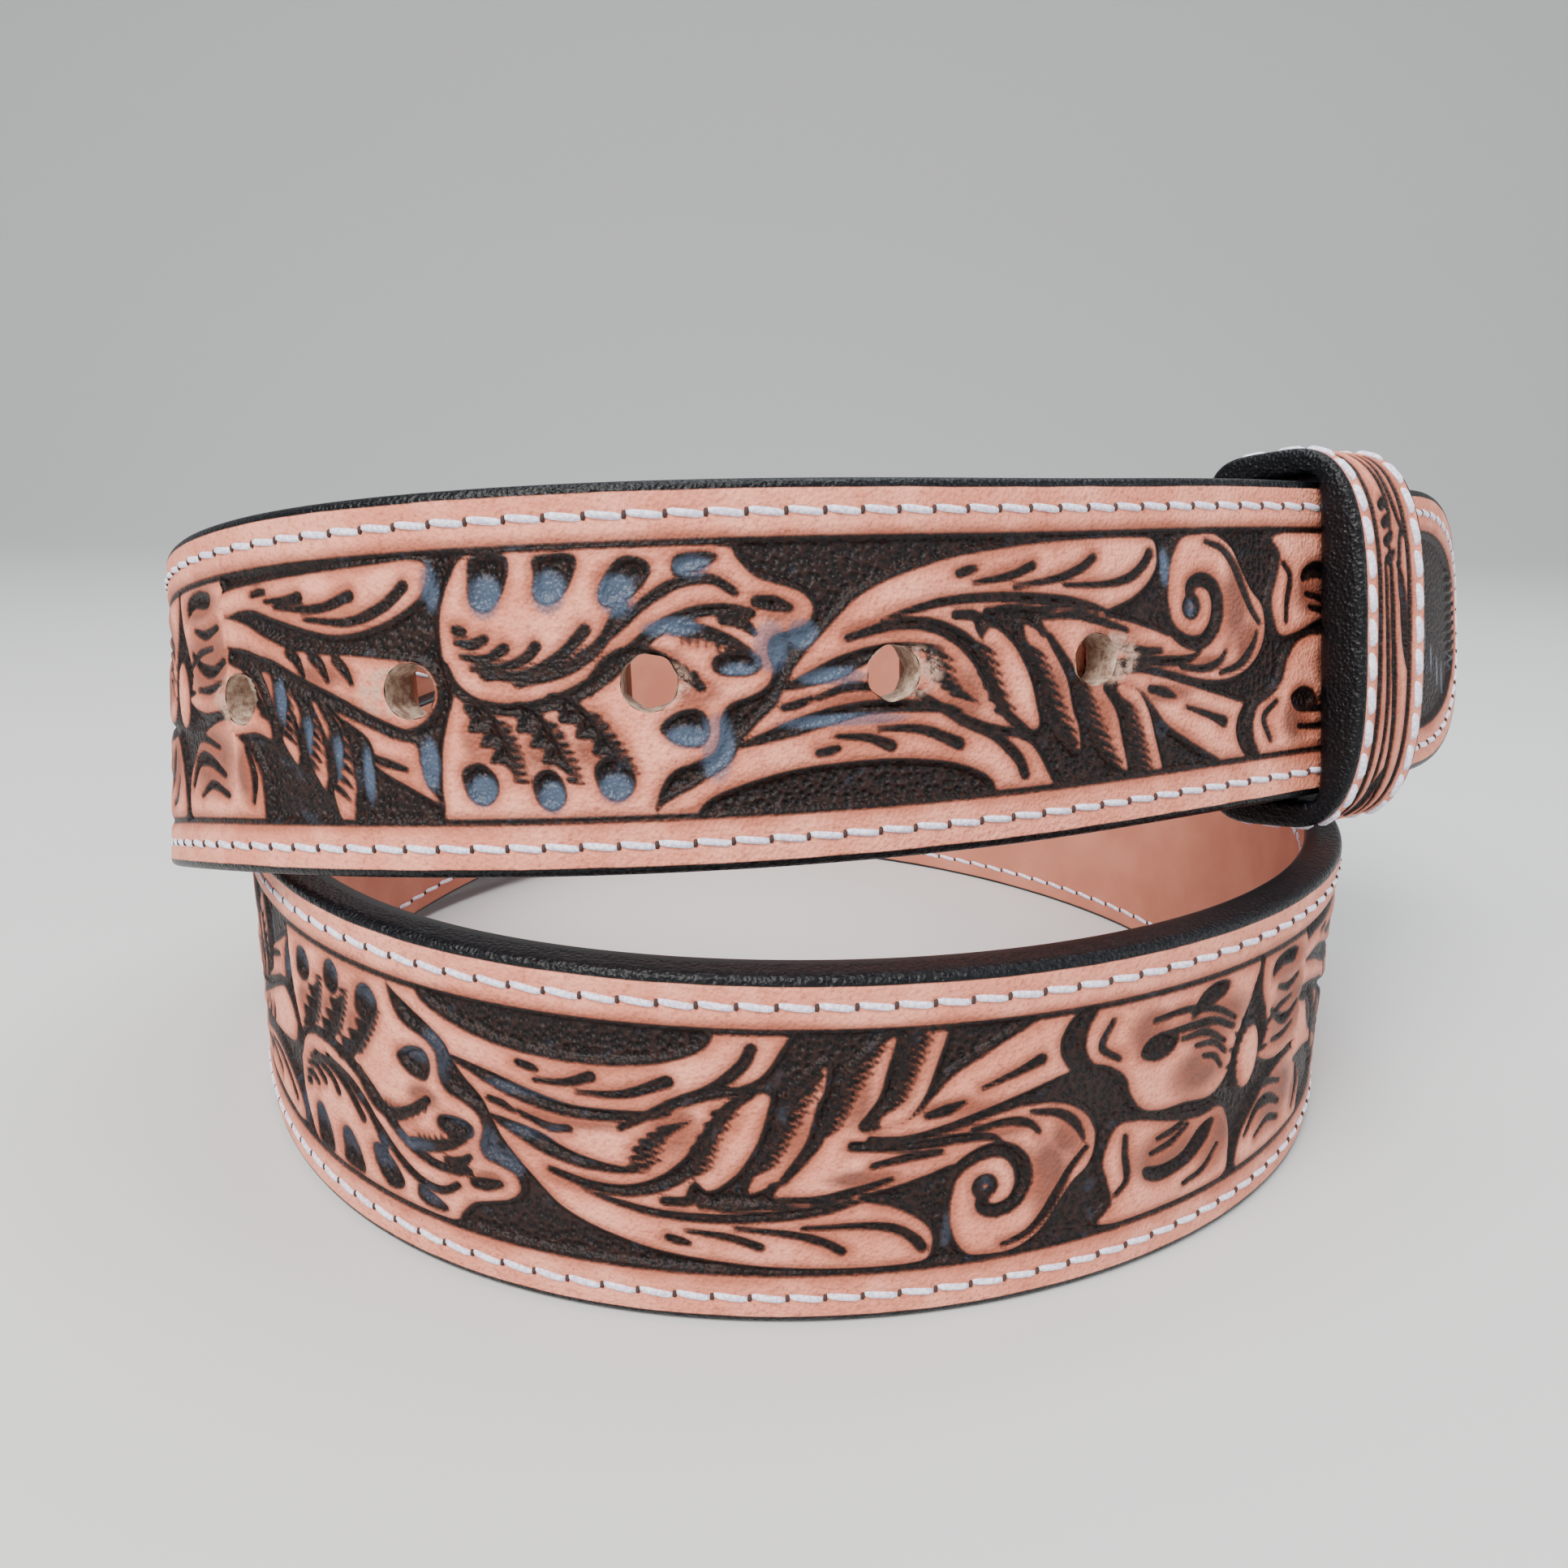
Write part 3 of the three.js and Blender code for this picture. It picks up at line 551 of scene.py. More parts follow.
# start, middle and end width of each cut, then its course
cuts = [
    (0.4, 1.5, 0.6, [(135.6, 3.7), (131, 4.8), (127, 4.8), (123.4, 3.4), (121.0, 1.2), (119.2, -2),
        (117.4, -5), (115, -7)]),
    (0.4, 1.0, 0.5, [(128, -2.2), (124.2, -4.5), (121, -6.1), (118, -6.9), (114.4, -7.3)]),
    (0.4, 0.6, 0.1, [(142.4, -3.0), (140.8, -2.7), (139.4, -2.1)]),
    (0.2, 0.6, 0.5, [(139, -2.2), (135.6, -1.2), (133.4, -1.3)]),
    (0.5, 0.6, 0.3, [(138.8, -7.8), (137.6, -7.6), (136.8, -7.4)]),
    (0.1, 0.5, 0.9, [(137, -6.2), (133.6, -6.5), (131, -7.5)]),
    (0.1, 0.6, 1.0, [(132.4, -5.6), (127.6, -6.0), (123.2, -7.8)]),
    (0.2, 0.9, 0.8, [(123.4, -5.4), (118.8, -7.4), (116.0, -9.9), (115.1, -11.8)]),
    (0.5, 0.6, 0.3, [(123.2, 9.8), (122, 10.1), (121.2, 10.3)]),
    (0.1, 0.5, 0.6, [(121.4, 8.8), (117, 9.4), (114, 10.4)]),
    (0.1, 0.6, 0.6, [(116.4, 8.3), (111, 8.9), (107.6, 9.9), (105.8, 11.0)]),
    (0.1, 0.7, 0.8, [(109.8, 8.2), (104, 8.1), (100.5, 8.7), (98.4, 10.1), (97.6, 11.2)]),
    (0.7, 0.9, 0.3, [(119.8, 5.7), (117.6, 5.4), (116.4, 4.0), (115.6, 2.6)]),
    (0.7, 0.9, 0.3, [(115.8, 5.4), (113.6, 4.7), (112.8, 3.2)]),
    (0.6, 0.8, 0.3, [(123.6, 5.6), (121.2, 5.4), (120.0, 4.0)]),
    (0.2, 0.7, 0.2, [(112.4, 4.9), (108, 4.9), (104.4, 4.0), (101, 2.9)]),
    (0.3, 0.6, 0.3, [(103, 1.3), (99.4, 0.6), (96.0, 0.3)]),
    (0.8, 1.7, 1.0, [(95.4, 4.4), (93.9, 2.3), (91.6, 1.0), (89.2, 1.0), (87.4, 2.6), (86.8, 5.0),
        (87.7, 7.2), (89.6, 8.0), (91.2, 7.4), (91.3, 6.0)]),
    (0.5, 1.5, 0.7, [(116.8, 4.4), (114.8, 1.3), (112.9, -2.4), (111.3, -6.0), (108.6, -9.0)]),
    (0.5, 1.7, 0.7, [(111.8, 2.8), (109.0, -1.3), (107.6, -5.5), (105.8, -9.2), (103.6, -12.4)]),
    (0.9, 1.6, 0.7, [(103.9, -3.2), (101.8, -6.0), (100.7, -9.7), (99.5, -13.4)]),
    (0.5, 1.9, 0.7, [(199.8, 3.6), (198.6, 1.0), (198.7, -1.6), (199.3, -4.2)]),
    (0.5, 1.7, 0.6, [(196.6, 1.0), (194.7, -1.8), (195.2, -5.2), (196.2, -7.6)]),
    (0.5, 1.8, 0.6, [(192.4, -1.0), (190.7, -3.9), (191.2, -7.4), (192.5, -10.4)]),
    (0.5, 1.7, 1.2, [(189.2, -3.2), (186.9, -5.5), (187.4, -8.4), (188.5, -13.4)]),
    (0.2, 0.8, 0.3, [(88.8, 12.3), (86, 11.4), (84, 9.4), (82.6, 7), (81.2, 4.6), (79.5, 2.6)]),
    (0.8, 0.8, 0.1, [(105, -1.0), (99, -0.7), (94, -1.0), (91, -0.8), (89.6, 0.0)]),
    (0.2, 0.7, 0.1, [(92.8, -1.8), (89, -2.2), (86.6, -1.6), (85.4, -0.4)]),
    (0.2, 0.8, 0.1, [(86.4, -2.9), (83, -2.1), (80.8, -0.2), (79.9, 1.6)]),
    (0.5, 0.9, 0.1, [(97.6, -3.9), (95.6, -4.4), (93.8, -5.1)]),
    (0.1, 0.5, 1.0, [(92, -6.4), (88, -7.8), (85.8, -8.7)]),
    (1.0, 1.4, 0.8, [(81.0, -6.4), (82.4, -8.6), (81.9, -11), (80.0, -13.4)]),
    (0.6, 1.3, 0.6, [(176.6, 2.4), (175.6, 0.2), (173.4, -1.5), (170, -2.2), (166.6, -1.9), (163, -0.8),
        (159.6, 1.2), (157, 3.4), (154.4, 5.4), (151.2, 6.7), (148, 7.0), (145.4, 6.5)]),
    (0.3, 0.8, 0.5, [(163.6, 2.2), (159.4, 4.8), (155.6, 8), (152.4, 9.7), (149.2, 9.9), (147, 8.6)]),
    (0.7, 0.7, 0.5, [(175.0, 5.9), (174.6, 5.8), (174.2, 5.7)]),
    (0.3, 0.8, 0.6, [(175.0, 4.7), (173.4, 4.4), (172, 4.9)]),
    (0.2, 0.6, 0.8, [(174.6, 3.3), (172.2, 2.9), (170, 3.9)]),
    (0.2, 0.6, 0.8, [(173.6, 2.0), (170.4, 2.1), (168, 2.8), (166.8, 4.0)]),
    (0.2, 0.8, 0.9, [(172.2, 1.0), (167.4, 1.5), (164.2, 3.1), (161.8, 5.4)]),
    (0.2, 0.8, 0.9, [(169, 0.2), (163.8, 1.5), (160.2, 4.2), (158, 7.5)]),
    (0.9, 1.2, 0.5, [(144.8, 7.6), (143.2, 7.4), (141.6, 6.9)]),
    (0.8, 1.1, 0.3, [(148.2, 6.0), (146.6, 5.8), (145.2, 4.6)]),
    (1.2, 1.2, 0.6, [(161.8, -0.4), (159.4, 2.2), (156.6, 3.0), (153.4, 1.6), (150.6, -0.6)]),
    (1.2, 1.0, 0.5, [(153.0, 5.4), (150.4, 4.9), (147.8, 3.9), (145.8, 2.7)]),
    (1.2, 1.3, 0.4, [(208.6, 5.4), (205, 4.0), (200, 3.4), (195, 1.1), (190, -1.0), (186, -2.8),
        (182, -4.3), (178.2, -4.8)]),
    (0.4, 0.5, 0.3, [(201.6, 11.1), (200.4, 11.2), (199.4, 11.2)]),
    (0.1, 0.6, 0.9, [(199.4, 10.2), (196.4, 10.0), (194, 10.2)]),
    (0.1, 0.6, 0.9, [(197.8, 9.4), (191.4, 8.9), (187, 9.9)]),
    (0.1, 0.8, 0.9, [(193.4, 7.9), (187.4, 7.3), (183, 8.6), (180.4, 10.5)]),
    (1.1, 0.9, 0.2, [(196.2, 4.6), (195.2, 3.6), (194.4, 2.0)]),
    (1.1, 0.9, 0.2, [(192.8, 4.0), (191.8, 3.0), (191.0, 1.4)]),
    (0.9, 0.8, 0.2, [(189.6, 3.5), (188.6, 2.4), (187.8, 1.0)]),
    (0.3, 0.5, 0.3, [(172.6, 1.4), (168.4, 0.9), (164.0, 1.9), (161.0, 3.8)]),
    (0.3, 0.5, 0.2, [(70.4, 5.8), (67.4, 5.2), (65.0, 3.8)]),
    (0.3, 0.5, 0.2, [(69.6, 4.2), (67.0, 3.7), (64.8, 2.6)]),
    (0.2, 0.4, 0.2, [(63.6, -4.2), (61.6, -3.6), (60.2, -2.0)]),
    (0.3, 0.5, 0.2, [(71.8, -10.4), (67.0, -10.6), (62.0, -9.4), (58.4, -7.4)]),
    (0.3, 0.5, 0.3, [(76.2, -7.0), (78.6, -8.8), (77.4, -11.6)]),
    (0.3, 0.5, 0.2, [(64.6, 11.4), (61.4, 10.6), (59.2, 8.2)]),
    (0.3, 0.5, 0.2, [(52.6, 4.4), (49.0, 4.0), (45.2, 5.2)]),
    (0.2, 0.5, 0.2, [(51.2, -4.2), (48.4, -5.6), (44.8, -6.0)]),
    (0.5, 0.9, 0.3, [(205.6, -5.4), (204.6, -8.6), (205.2, -11.4)]),
    (0.3, 0.6, 0.2, [(187.6, -6.2), (184.6, -7.2), (182, -8.0)]),
    (0.9, 1.2, 0.7, [(56.0, 10.4), (55.7, 7.6), (55.9, 4.4)]),
    (0.4, 0.7, 0.3, [(69.8, -8.4), (65.4, -8.4), (62, -8.0), (58.6, -6.4)]),
    (0.2, 0.5, 0.2, [(67.4, -7.2), (63.4, -7.0), (60.0, -5.0)]),
    (0.2, 0.4, 0.2, [(65.0, -5.8), (62.0, -5.4), (59.6, -3.6)]),
    (0.3, 0.6, 0.3, [(75.0, 9.6), (73.6, 8.0), (74.2, 5.0), (74.4, 2.6)]),
    (0.3, 1.4, 0.4, [(53.2, 9.4), (50.8, 6.6), (47.8, 6.6), (44.6, 8.3)]),
    (0.2, 0.7, 0.4, [(50.6, 10.6), (47.6, 9.4), (44.2, 10.6)]),
    (0.3, 1.2, 0.4, [(50.2, -5.8), (47.8, -4.0), (45.2, -3.4), (42.6, -4.4)]),
    (0.2, 0.6, 0.3, [(49.2, -1.6), (46.4, -1.4), (43.6, -2.0)]),
    (0.2, 0.8, 0.4, [(49.0, -8.4), (46.2, -7.6), (43.4, -8.2)]),
]
for cut in cuts:
    pattern.stroke(*cut)

# rows of veiner cuts along the ropes: how many, how far each goes and its width, then the line they leave
veins = [
    (6, -3.2, -1.3, 0.5, [(127.0, 2.2), (126.2, -0.4), (124.0, -2.4)]),
    (7, -3.0, -1.4, 0.5, [(121.6, 2.6), (120.6, -0.6), (118.6, -4.6)]),
    (8, -3.1, -1.5, 0.5, [(115.2, 2.0), (113.4, -1.8), (111.2, -6.4)]),
    (8, -3.1, -1.6, 0.5, [(109.0, -2.0), (107.4, -5.6), (105.0, -10.2)]),
    (9, -2.9, -1.6, 0.5, [(102.6, -4.6), (101.0, -8.6), (99.8, -12.6)]),
    (6, -2.3, -1.6, 0.45, [(204.6, 2.8), (203.4, 0.4), (202.0, -1.6)]),
    (6, -2.2, -1.7, 0.45, [(198.6, 1.4), (198.4, -1.2), (198.7, -3.6)]),
    (6, -2.2, -1.7, 0.45, [(194.8, -1.4), (194.7, -4.0), (195.6, -6.4)]),
    (6, -2.2, -1.7, 0.45, [(190.6, -3.4), (190.6, -6.4), (191.6, -9.6)]),
    (5, -2.0, -0.7, 0.3, [(153.6, 5.2), (151.2, 4.9), (148.4, 3.8)]),
    (7, 0.3, -1.5, 0.3, [(152.0, 5.2), (149.6, 4.8), (146.6, 3.0)]),
    (8, -0.5, -1.5, 0.3, [(157.6, 3.0), (154.6, 2.8), (151.2, 0.8)]),
]
for row in veins:
    pattern.teeth(*row)

# the shell's serrated ribs: a scalloped wedge with a ladder of fine cuts, set down three times
rib = np.array([
    (0.9, 0.6), (-0.6, 0.9), (-2.0, 0.0), (-3.0, -2.0), (-3.9, -4.4), (-4.3, -6.4), (-2.9, -5.4),
    (-1.6, -5.2), (-2.2, -3.8), (-0.6, -3.5), (-1.2, -2.2), (0.5, -2.0), (0.2, -0.8)
])
for x, y, lean in ((174.0, -2.2, 0.0), (169.0, -2.4, 0.08), (165.0, -1.6, 0.32)):
    pattern.cut(rib + (x, y) + rib[:, 1:] * (lean, 0))
    ladder = np.array([(-2.5, -1.2), (-3.3, -3.0), (-3.9, -5.0), (-4.1, -7.0)])
    pattern.teeth(9, -1.5, -0.35, 0.25, ladder + (x, y) + ladder[:, 1:] * (lean, 0))

# the flower's heart: cuts that stand out from its oval all round
heartReach = np.array([(2.6, 4.2), (3.5, 5.2), (4.4, 6.2)])
for turn in np.linspace(0, 2 * np.pi, 19)[:-1]:
    pattern.stroke(0.4, 0.3, -0.2, (54.7, -1.4) + heartReach * (math.cos(turn), math.sin(turn)))

# the scroll's eye
pattern.cut([(92.5, 5.0), (91.9, 6.2), (90.8, 6.4), (89.9, 5.5), (89.9, 4.4), (90.8, 3.6), (92.0, 3.9)])
pattern.add([(91.5, 4.9), (91.1, 5.4), (90.7, 4.9), (91.1, 4.5)])

# glossy patches of dye, which also carry a painted blue-grey sheen of reflected light: middle, half length,
# half height
glossAndSheenPatches = np.array([
    (171.7, 8.8, 2.1, 2.6), (165.1, 9.0, 2.1, 2.6), (158.6, 8.6, 2.3, 2.4), (151.0, 11.2, 2.2, 1.2),
    (153.4, 5.4, 3.6, 1.1), (146.8, 0.9, 2.0, 0.7), (152.2, -5.6, 2.6, 1.3), (173.6, -10.5, 2.0, 1.9),
    (166.2, -11.3, 1.7, 1.9), (159.6, -10.6, 2.1, 1.8), (143.6, 3.2, 2.2, 3.2), (149.2, -6.8, 2.0, 4.4),
    (140.4, 4.4, 2.0, 1.8), (137.0, -0.1, 4.4, 1.0), (136.0, -4.6, 9.0, 0.8), (94.9, 9.6, 0.6, 2.6),
    (91.0, 4.8, 0.7, 1.1), (177.6, 10.2, 1.0, 2.8), (179.4, -7.6, 1.1, 3.2), (198.7, -0.6, 0.8, 3.0),
    (194.9, -4.4, 0.7, 2.4), (190.9, -6.8, 0.7, 2.8), (187.2, -8.6, 0.8, 3.4),
])

# where the tan is burnished brown: middle, half length, half height
burnish = np.array([
    (84.2, 4.6, 3.2, 6.0), (82.0, 0.6, 3.2, 3.2), (68.0, 6.0, 7.0, 3.8), (60.0, 7.0, 4.0, 5.0),
    (64.5, -2.8, 5.6, 3.8), (62.0, -8.4, 7.0, 3.6), (72.6, -9.4, 3.6, 3.6), (47.0, 6.4, 7.0, 5.4),
    (45.6, -4.6, 7.0, 5.6), (47.0, -11.0, 6.0, 2.6), (103.6, 2.6, 5.0, 1.4), (122.8, -3.0, 3.0, 4.0),
    (111.0, -4.0, 2.0, 5.0), (105.0, -7.0, 2.2, 4.6), (100.2, -9.0, 1.8, 4.6), (132.0, 4.6, 5.0, 1.2),
    (156.4, 2.4, 5.0, 1.6), (151.0, -1.0, 3.0, 1.8), (173.4, -5.0, 2.4, 2.8), (167.4, -6.0, 1.8, 2.6),
    (162.0, -6.2, 2.0, 2.4), (192.0, 2.0, 6.0, 1.6), (200.2, 0.0, 1.6, 4.4), (195.0, -4.6, 1.6, 4.6),
    (190.6, -7.0, 1.4, 5.0), (205.6, -8.0, 2.8, 4.6), (134.0, -2.4, 8.0, 1.2), (142.6, 6.6, 2.6, 1.6),
    (91.0, -1.6, 7.0, 1.4), (95.0, -4.6, 5.0, 1.4)
])

# where each repeat starts on the strap, how long it is there, which way up, and how strong its gloss and
# painted sheen are
repeats = np.array([(-124, 166, 1, 1.0), (42, 166, 1, 1.0), (208, 190, -1, 0.6), (398, 190, 1, 0.7),
                    (588, 170, -1, 0.35), (758, 166, 1, 0.6), (924, 184, -1, 0.7)])


def patternPlace(s, v):
    # the place in the drawing that belongs to a place on the strap
    which = np.clip(np.searchsorted(repeats[:, 0], s, side="right") - 1, 0, len(repeats) - 1)
    start, length, way, glossAndSheenStrength = (repeats[which, k] for k in range(4))
    return repeat["start"] + (s - start) * repeat["length"] / length, v * way, glossAndSheenStrength


def edgeDistance(s, v):
    # distance from the cut edge, measured square to the outline near the point of the strap
    half = halfAt(s)
    slope = (halfAt(s + 0.25) - halfAt(s - 0.25)) / 0.5
    side = (half - np.abs(v)) / np.sqrt(1 + np.clip(slope, 0, None) ** 2)
    return np.where(s < 60, np.minimum(side, np.maximum(s, 0)), side)


def patches(table, u, w, rise):
    # soft-edged ellipses: one in the middle of each, nothing from its rim outwards
    most = np.zeros(np.shape(u))
    for x, y, a, b in table:
        most = np.maximum(most, 1 - ((u - x) / a) ** 2 - ((w - y) / b) ** 2)
    return np.clip(most * rise, 0, 1)


# the plain border ends and the field begins at these distances from the cut edge
border, fieldEdge = 5.7, 6.2


def tooling(s, v):
    # distance into undyed leather, glossy dye with its painted sheen, burnish and distance from the edge: the
    # pattern in the field, a cut line along it, and plain leather in the border
    u, w, glossAndSheenStrength = patternPlace(s, v)
    edge = edgeDistance(s, v)
    field = pattern.at(u, w)
    # at the point of the strap: dark ground with a comb of short cuts along its nose
    comb = 0.22 + 0.42 * np.cos(2 * np.pi * v / 1.5) - 0.16 * np.abs(s - 10.0)
    field = np.where(s < 52, comb, field)
    field = np.minimum(field, edge - fieldEdge)
    inside = np.clip(np.maximum(field, border - edge), -2.0, 2.0)
    inner = edge > fieldEdge
    # the glossy dabs, which also carry the painted sheen, weaker in repeats with less gloss and sheen
    # strength
    glossAndPaintedSheen = patches(glossAndSheenPatches, u, w, 1.6) * inner * glossAndSheenStrength
    burnt = patches(burnish, u, w, 1.2) * inner
    return inside, glossAndPaintedSheen, burnt, edge


def eased(value, low, high):
    # smooth change from 0 to 1 between low and high
    t = np.clip((value - low) / (high - low), 0, 1)
    return t * t * (3 - 2 * t)


print("tooling drawn")

# ---------- meshes

sharpAngle = math.radians(62)


def makeObject(name, points, faces, material, attributes=None):
    # a mesh from places in millimetres, with one value of each attribute for each place
    mesh = bpy.data.meshes.new(name)
    mesh.from_pydata((points + shift) * mm, [], faces)
    mesh.materials.append(material)
    mesh.polygons.foreach_set("use_smooth", np.ones(len(mesh.polygons), bool))
    mesh.set_sharp_from_angle(angle=sharpAngle)
    for key, values in (attributes or {}).items():
        layer = mesh.attributes.new(key, "FLOAT", "POINT")
        layer.data.foreach_set("value", np.asarray(values, np.float32).ravel())
    mesh.update()
    thing = bpy.data.objects.new(name, mesh)
    bpy.context.scene.collection.objects.link(thing)
    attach(thing, "root")
    return thing


def gridFaces(rows, columns, loop=True):
    # quads of a grid whose columns run round the section
    r = np.arange(rows - 1)[:, None]
    c = np.arange(columns if loop else columns - 1)[None, :]
    d = (c + 1) % columns
    here, beyond = r * columns, (r + 1) * columns
    return np.stack([here + c, beyond + c, beyond + d, here + d], -1).reshape(-1, 4)


holes = strap["firstHole"] + strap["holePitch"] * np.arange(5)
# how each hole has worn: fray length towards the point (minus) or away from it, and its reach
wear = np.array([(-4.4, 3.4), (-3.6, 3.2), (-2.0, 2.6), (4.6, 3.0), (3.6, 3.2)])


def frayAt(s, v):
    # 1 at the middle of each worn place, falling to 0 at its rim
    fray = np.zeros(np.shape(s))
    for hole, (way, reach) in zip(holes, wear):
        centre = hole + way * 0.55
        away = np.hypot((s - centre) / (abs(way) * 0.5 + 2.6), v / reach)
        fray = np.maximum(fray, 1 - away)
    return np.clip(fray * 2.2, 0, 1)


# The section of the face leather, from the bottom edge over the carved face to the top edge: heights on the
# flat face, then height and depth round the edge.
gridStep = 0.4
fieldRows = np.arange(-13.8, 13.81, gridStep)
rimRows = np.array([14.2, 14.7, 15.2, 15.6, 15.95, 16.3, 16.65, 17.1, 17.6, 18.1, 18.5])
ringV = np.concatenate([-rimRows[::-1], fieldRows, rimRows])
cornerV = np.array([18.82, 19.12, 19.34, 19.46, 19.5, 19.5])
cornerDepth = np.array([0.07, 0.24, 0.5, 0.85, 1.3, 3.1])


def strapSegment(name, low, high):
    # the carved face leather between two lengths along the strap
    steps = int(round((high - low) / gridStep)) + 1
    ring = np.concatenate([-cornerV[::-1], ringV, cornerV])
    depth = np.concatenate([cornerDepth[::-1], 0 * ringV, cornerDepth])
    s, v = np.meshgrid(np.linspace(low, high, steps), ring, indexing="ij")
    v = v * halfAt(s) / halfWidth
    depth = np.broadcast_to(depth, s.shape)
    inside, glossAndPaintedSheen, burnt, edge = tooling(s, v)
    carved = -0.62 * eased(-inside, -0.25, 0.75) - 0.22 * (1 - eased(inside, 0.0, 1.3))
    seam = -0.16 * np.exp(-((edge - 3.2) / 0.5) ** 2)
    fray = frayAt(s, v)
    height = np.where(edge > 1.2, carved * eased(edge, 4.8, 5.6) + seam, 0) + 0.12 * fray
    count = len(ring)
    faces = gridFaces(steps, count)
    points = strapPoints(s, v, depth - height).reshape(-1, 3)
    # the gloss mask goes on as an attribute; it also carries the painted sheen
    attributes = {"tan": inside, "glossAndPaintedSheen": glossAndPaintedSheen, "burnt": burnt, "edge": edge - depth * 0.6, "fray": fray}
    # holes: faces well inside one go, and the grid's rim is drawn onto its circle
    flatS, flatV = s.ravel().copy(), v.ravel().copy()
    onFace = depth.ravel() < 0.05
    gone = np.zeros(len(flatS), bool)
    for hole in holes:
        away = np.hypot(flatS - hole, flatV)
        near = onFace & (away < strap["holeRadius"])
        gone |= near
        rim = near & (away > 1e-6)
        grow = strap["holeRadius"] / np.where(rim, away, 1)
        flatS = np.where(rim, hole + (flatS - hole) * grow, flatS)
        flatV = np.where(rim, flatV * grow, flatV)
    if gone.any():
        points[gone] = strapPoints(flatS[gone], flatV[gone], (depth - height).ravel()[gone] + 0.05)
        faces = faces[~gone[faces].all(1)]
        # the flat back is left out behind each hole too
        back = (faces % count == count - 1).any(1) & (faces % count == 0).any(1)
        nearHole = np.abs(flatS[faces][..., None] - holes).min(-1).max(1) < strap["holeRadius"] + 0.6
        faces = faces[~(back & nearHole)]
    caps = [np.arange(count)[::-1].tolist(), ((steps - 1) * count + np.arange(count)).tolist()]
    thing = makeObject(name, points, faces.tolist() + caps, tooled, attributes)
    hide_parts("strap_face")


seams = [0.0, 330.0, 560.0, 830.0, strap["length"]]
for i in range(4):
    strapSegment("tooled_strap_%d" % (i + 1), seams[i], seams[i + 1])
print("tooled strap made")

# the plain lining behind, with its own rounded black edge and the groove of its seam: height, depth
liningSection = np.array([
    (19.5, 3.1), (19.5, 4.1), (19.4, 4.45), (19.15, 4.68), (18.8, 4.78), (18.2, 4.8), (17.0, 4.8),
    (16.6, 4.78), (16.3, 4.68), (16.0, 4.78), (15.4, 4.8), (12.0, 4.8), (8.0, 4.8), (4.0, 4.8), (0.0, 4.8)])
liningSection = np.concatenate([liningSection, liningSection[-2::-1] * (-1, 1)])


def liningMesh():
    # the lining in steps of 1 mm, left open where the holes go through
    lengths = np.arange(0, strap["length"] + 0.5, 1.0)
    lengths[-1] = strap["length"]
    s, v = np.meshgrid(lengths, liningSection[:, 0], indexing="ij")
    v = v * halfAt(s) / halfWidth
    depth = np.broadcast_to(liningSection[:, 1], s.shape)
    edge = edgeDistance(s, v) + (depth - strap["thickness"]) * 0.6
    points = strapPoints(s, v, depth).reshape(-1, 3)
    count = len(liningSection)
    flatS, flatV = s.ravel(), v.ravel()
    faces = gridFaces(len(lengths), count)[:, ::-1]
    middleS, middleV = flatS[faces].mean(1), flatV[faces].mean(1)
    keep = np.ones(len(faces), bool)
    closing = (faces % count == count - 1).any(1) & (faces % count == 0).any(1)
    for hole in holes:
        keep &= ~((np.hypot(middleS - hole, middleV) < 3.4) & (np.abs(flatV[faces]).max(1) < 6))
        keep &= ~((np.abs(middleS - hole) < 3.5) & closing)
    caps = [list(range(count)), ((len(lengths) - 1) * count + np.arange(count)[::-1]).tolist()]
    thing = makeObject("strap_lining_leather", points, faces[keep].tolist() + caps, lining, {"edge": edge})
    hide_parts("strap_lining")


liningMesh()


def holeRings(name, depth, radius, material):
    # rings round the axis of each punched hole, a surface between one ring and the next
    angle = np.linspace(0, 2 * np.pi, 49)[:-1]
    turn, down = np.meshgrid(angle, depth, indexing="ij")
    wide = np.broadcast_to(radius, turn.shape)
    ring = gridFaces(len(angle) + 1, len(depth), loop=False) % turn.size
    points, faces = [], []
    for k, hole in enumerate(holes):
        reach = wide * (1 + 0.03 * np.sin(7 * turn + hole) * (wide < 3.1))
        points.append(strapPoints(hole + reach * np.cos(turn), reach * np.sin(turn), down).reshape(-1, 3))
        faces.append(ring + k * turn.size)
    points, faces = np.concatenate(points), np.concatenate(faces)[:, ::-1]
    thing = makeObject(name, points, faces.tolist(), material, {"edge": np.full(len(points), 3.0)})


holeRings("hole_walls", np.array([0.02, 0.5, 1.6, 3.0, 4.2, 4.76, 4.84]),
          np.array([2.9, 2.84, 2.86, 2.9, 2.88, 2.95, 3.3]), rawFibre)
holeRings("hole_backs", np.array([4.84, 4.84]), np.array([3.3, 6.2]), lining)
print("lining and holes made")

# stitching: thread lies on top, slanted a little, between needle holes whose shade is painted as dark bars
stitch = {"pitch": 3.9, "length": 3.86, "radius": 0.39, "inset": 3.2, "slant": math.radians(7)}


def seamPath():
    # lengths along the seam and places on it: a line at the seam's inset, up one side, round the point
    # and back down the other
    s = np.concatenate([np.arange(strap["length"] - 3, 44, -1.0), np.arange(44, 0, -0.25)])
    half = halfAt(s)
    slope = np.gradient(half, s)
    length = np.sqrt(1 + slope ** 2)
    path = np.stack([s + stitch["inset"] * slope / length, half - stitch["inset"] / length], 1)
    path = path[(path[:, 0] > stitch["inset"]) & (path[:, 1] > 0.4)]
    nose = [(stitch["inset"] + 0.1, path[-1, 1] - 0.5)]
    path = np.concatenate([path, nose])
    path = np.concatenate([path, path[::-1] * (1, -1)])
    step = np.concatenate([[0], np.cumsum(np.linalg.norm(np.diff(path, axis=0), axis=1))])
    return step, path


